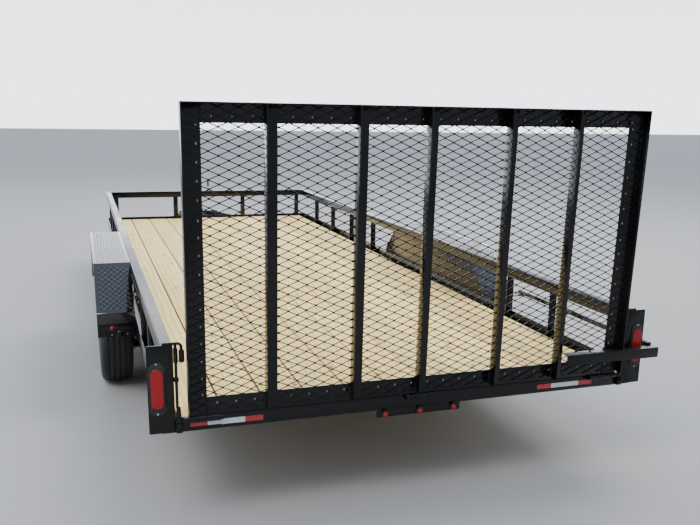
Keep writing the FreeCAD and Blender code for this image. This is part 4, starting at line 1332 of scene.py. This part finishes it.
def fitLatches():
    # A rod down each tail plate's inner edge, with a bar across its top that bends down to a paddle
    l = latch
    inner = corner("tail_plate_right", x="low").x
    railTop = corner("top_rail_right", z="high").z
    low, high = boxOf("gate_latches")
    face = corner("frame_rear", y="low").y
    x = inner - l["sleeve"] - 0.0003
    y = face - l["sleeve"]
    top = high.z - l["rod"]
    rodFoot = low.z + l["footTall"] - 0.004
    paddleZ = top - l["bend"] - l["paddleLow"] - l["paddleTall"] / 2
    bottom = low.z + l["pivotPlace"][1]
    pivotX = inner - l["pivotPlace"][0]
    pieces = [barAt("rod", l["rod"], (x, y, rodFoot), top - rodFoot, "Z", 16),
              bendBar((x + l["barReach"], y, top), (x - l["barPast"], y, top - l["bend"]))]
    rings = ((l["sleeve"], l["sleeveLow"], l["sleeveTall"]), (l["eye"], l["eyeDrop"], l["eyeTall"]))
    for radius, drop, tall in rings:
        ring = barAt("ring", radius, (x, y, railTop - drop - tall), tall, "Z", 20)
        pieces.append(bevelAll(ring, 0.0012, 2, 50.0))
    paddle = ovalAt("paddle", x - l["barPast"] - l["bend"], paddleZ, l["paddleWide"], l["paddleTall"],
                    y - l["paddleThick"] / 2, y + l["paddleThick"] / 2)
    pieces.append(bevelAll(paddle, 0.0018, 3, 50.0))
    footFace = face - l["footDeep"]
    footX = inner - l["footInset"]
    foot = boxAt("foot", (footX - l["footWide"], footFace, low.z), (footX, face, low.z + l["footTall"]))
    resizeFaces(foot, lambda side: side.normal.z > 0.9, (l["footTaper"], 1, 1))
    pieces.append(bevelAll(foot, 0.0030, 3))
    pivot = barAt("pivot", l["pivotRadius"], (pivotX, footFace + 0.001, bottom), -l["pivotThick"], "Y")
    pieces.append(bevelAll(pivot, 0.0015))
    pieces.append(nutAt(*l["pivotNut"], "Y", (pivotX, footFace - 0.005, bottom)))
    right, left = finishPair(joinPieces("latch", pieces), "latchRods", "blackPaint", bodyOf["gate_latches"])
    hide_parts("gate_latches")


fitLatches()
print("latches fitted")

# Running gear: nuts under the spring plates and on the pins, clips round the leaves
gear = {
    "rodReach": 0.02875,         # U-bolts from the spring's middle
    "rodSpread": 0.037,          # and from the axle's
    "plateLow": 0.0165,          # spring plate's underside above the U-bolts' ends
    "clampNut": (0.0105, -0.0095),                # radius and height
    "pinDown": 0.017,            # pins below the springs' top
    "pinInset": 0.032,           # end pins from the hangers' ends
    "middleUp": 0.020,           # equaliser's pin above the others
    "links": ((0.059, 0.016), (0.095, 0.0)),      # its other pins, from its middle
    "pinNut": 0.0118,
    "linkNut": 0.0100,
    "nutTall": 0.0066,
    "nutSunk": 0.0062,
    "clipOut": 0.165,            # clips from the axle
    "clipTop": 0.0369,           # above the springs' lowest point, where the leaves have curved up
    "clipLean": 6.2,
    "clipHalf": 0.011,
    "clipThick": 0.0022,
    "leavesThere": 0.021,
}


def fitNuts():
    g = gear
    low, high = boxOf("springs_right")
    hangerLow, hangerHigh = boxOf("spring_hangers_right")
    clampLow = corner("spring_clamps", z="low").z
    middle = corner("springs_right")
    rows = [corner("axle_rear").y, corner("axle_front").y]
    spots = [((middle.x + across, y + along, clampLow + g["plateLow"]),) for y in rows
             for along in (-g["rodSpread"], g["rodSpread"]) for across in (-g["rodReach"], g["rodReach"])]
    nuts = [copiesAt("clampNuts", nutAt(*g["clampNut"], "Z"), spots)]
    pinZ = high.z - g["pinDown"]
    pins = [(hangerLow.y + g["pinInset"], pinZ), (hangerHigh.y - g["pinInset"], pinZ),
            (middle.y, pinZ + g["middleUp"])]
    links = [(middle.y + side * out, pinZ + up) for out, up in g["links"] for side in (-1, 1)]
    faces = ((hangerHigh.x - g["nutSunk"], g["nutTall"]), (hangerLow.x + g["nutSunk"], -g["nutTall"]))
    for places, radius in ((pins, g["pinNut"]), (links, g["linkNut"])):
        for x, tall in faces:
            spots = [((x, y, z),) for y, z in places]
            nuts.append(copiesAt("pinNuts", nutAt(radius, tall, "X"), spots))
    finishPair(joinPieces("nuts", nuts), "springNuts", "zinc", "root", "zinc")
    clips = []
    thick = g["clipThick"]
    for y in rows:
        for side in (-1, 1):
            clip = boxAt("clip", (low.x - thick, -g["clipHalf"], -g["leavesThere"] - thick),
                         (high.x + thick, g["clipHalf"], thick))
            clip.rotation_euler.x = math.radians(side * g["clipLean"])
            clip.location = (0, y + side * g["clipOut"], low.z + g["clipTop"])
            clips.append(bevelAll(settle(clip), 0.0012))
    finishPair(joinPieces("clips", clips), "leafClips", "chassisPaint")


fitNuts()
print("running gear's nuts and clips fitted")

# Tongue's end: coupler with its bolts and latch pin, jack with its grip and bolts
tongueEnd = {
    "plateTop": 0.008,           # coupler's plate above the tongue's top
    "bolts": [(0.096, 0.030), (0.078, 0.080)],     # from the middle, ahead of the plate's rear edge
    "couplerNut": (0.0110, 0.0085),
    "pin": (0.0055, 0.034),      # latch pin's radius and length
    "pinAhead": 0.150,
    "pinRise": 0.048,
    "grip": 0.0118,
    "gripEnd": 0.0102,
    "gripLong": 0.085,
    "gripPast": 0.001,
    "gripInset": 0.010,
    "jackBolts": (0.058, 0.045),
    "jackNut": (0.0100, 0.0080),
    "jackPlate": 0.009,
    "footTop": 0.008,
    "legRadius": 0.0245,
    "footBeads": 16,
    # node, name, rounding, finish, slot, smoothing
    "copies": [("coupler", "couplerShell", (0.0022, 2, 24.0), "blackPaint", "black_paint", 40.0),
               ("coupler_latch", "couplerLever", (0.0018,), "zinc", "zinc"),
               ("jack_tube", "jackTube", (0.0014, 2, 50.0)),
               ("jack_leg", "jackLeg", (0.0020, 3, 50.0), "zinc", "zinc"),
               ("jack_crank", "jackCrank", (0.0014, 2, 50.0), "zinc", "zinc")],
}


def makeGrip():
    # A sleeve with a shallow waist and round ends
    t = tongueEnd
    crank = corner("jack_crank", x="high", z="high")
    z1 = crank.z + t["gripPast"]
    z0 = z1 - t["gripLong"]
    r = t["grip"]
    profile = [(z0, t["gripEnd"]), (z0, r - 0.001), (z0 + 0.002, r), (z0 + 0.012, r), (z0 + 0.022, r - 0.001),
               (z1 - 0.022, r - 0.001), (z1 - 0.010, r), (z1 - 0.004, r), (z1, r - 0.003), (z1, 0.0004)]
    grip = turnedPiece("crankGrip", profile, "Z", 24, False)
    grip.location = (crank.x - t["gripInset"], crank.y, 0)
    finishPiece(settle(grip), "rubber", bodyOf["jack_crank"], "black_paint", 50.0)


def fitTongueEnd():
    t = tongueEnd
    for row in t["copies"]:
        softCopy(*row)
    rear = corner("coupler", y="low").y
    top = corner("tongue_right", z="high").z
    y = corner("jack_crank").y
    spots = [((side * x, rear + ahead, top + t["plateTop"]),) for x, ahead in t["bolts"] for side in (-1, 1)]
    bolts = copiesAt("bolts", nutAt(*t["couplerNut"], "Z"), spots)
    radius, long = t["pin"]
    pin = barAt("pin", radius, (-long / 2, rear + t["pinAhead"], top + t["pinRise"]), long, "X", 20)
    bevelAll(pin, 0.0012, 2, 50.0)
    finishPiece(joinPieces("couplerBolts", [bolts, pin]), "zinc", "root", "zinc")
    makeGrip()
    out, ahead = t["jackBolts"]
    spots = [((x, y + along, top + t["jackPlate"]),) for x in (-out, out) for along in (-ahead, ahead)]
    finishPiece(copiesAt("jackBolts", nutAt(*t["jackNut"], "Z"), spots), "zinc", "root", "zinc")
    r = t["legRadius"]
    turns = [2 * math.pi * k / t["footBeads"] for k in range(t["footBeads"] + 1)]
    ring = [(r * math.cos(a), y + r * math.sin(a), t["footTop"]) for a in turns]
    weldRuns("footWeld", list(zip(ring, ring[1:])), bodyOf["jack_leg"], "zinc")


fitTongueEnd()
print("coupler and jack dressed")

# Lift rod beside the right rail, ahead of the gate's lift arm, on a strap at each rear post
liftRod = {
    "wide": 0.025,
    "gap": 0.006,                # ahead of the arm
    "aboveArm": 0.0095,
    "inset": 0.0035,
    "pastPost": 0.020,
    "wall": 0.0030,
    "openDeep": 0.020,
    "rounding": 0.0035,
    "strapAhead": 0.008,         # of the post's rear face
    "strapWide": 0.030,
    "strapThick": 0.005,
    "strapIn": 0.004,
    "hingeNut": (0.0112, 0.0100),
}


def fitLiftRod():
    l = liftRod
    arm = boxOf("lift_arm")[1]
    post = boxOf("rear_posts_right")[1]
    x1 = arm.x - l["inset"]
    top = arm.z + l["aboveArm"]
    foot = top - l["wide"]
    rod = boxAt("rod", (x1 - l["wide"], arm.y + l["gap"], foot), (x1, post.y + l["pastPost"], top))
    bevelAll(rod, l["rounding"], 3)
    editPiece(rod, lambda side: side.normal.y < -0.9)
    bpy.ops.mesh.inset(thickness=l["wall"], depth=0)
    stepOut((0, l["openDeep"], 0))
    leaveEdit()
    pieces = [rod]
    rear = corner("frame_side_right", y="low").y - railing["sideThick"]
    for row in railing["rearRows"]:
        y = rear + row + l["strapAhead"]
        strap = boxAt("strap", (post.x - l["strapIn"], y, foot - l["strapThick"]),
                      (x1, y + l["strapWide"], foot + 0.0002))
        pieces.append(bevelAll(strap, 0.0010))
    finishPiece(joinPieces("liftRod", pieces))
    hinge = hingeLine()
    nutX = corner("frame_barrels", x="high").x - 0.0005
    finishPair(nutAt(*l["hingeNut"], "X", (nutX, hinge.y, hinge.z)), "hingeNuts")


fitLiftRod()
print("lift rod and hinge nuts fitted")

# Every node gets a material, the ones that a piece stands in for as well
nodeFinish = {
    "jack_crank": "zinc", "coupler_latch": "zinc", "jack_leg": "zinc", "tail_lamps": "redLens",
    "marker_lamps": "redLens", "tyre": "rubber", "wheel": "wheelWhite",
}
nodeFinish.update({start: "chassisPaint" for start in underneath})


def dressNodes():
    for name, node in nodes.items():
        kinds = [finish for start, finish in nodeFinish.items() if name.startswith(start)]
        node.data.materials.clear()
        node.data.materials.append(materials[kinds[0] if kinds else "blackPaint"])


dressNodes()
print("materials on every node")
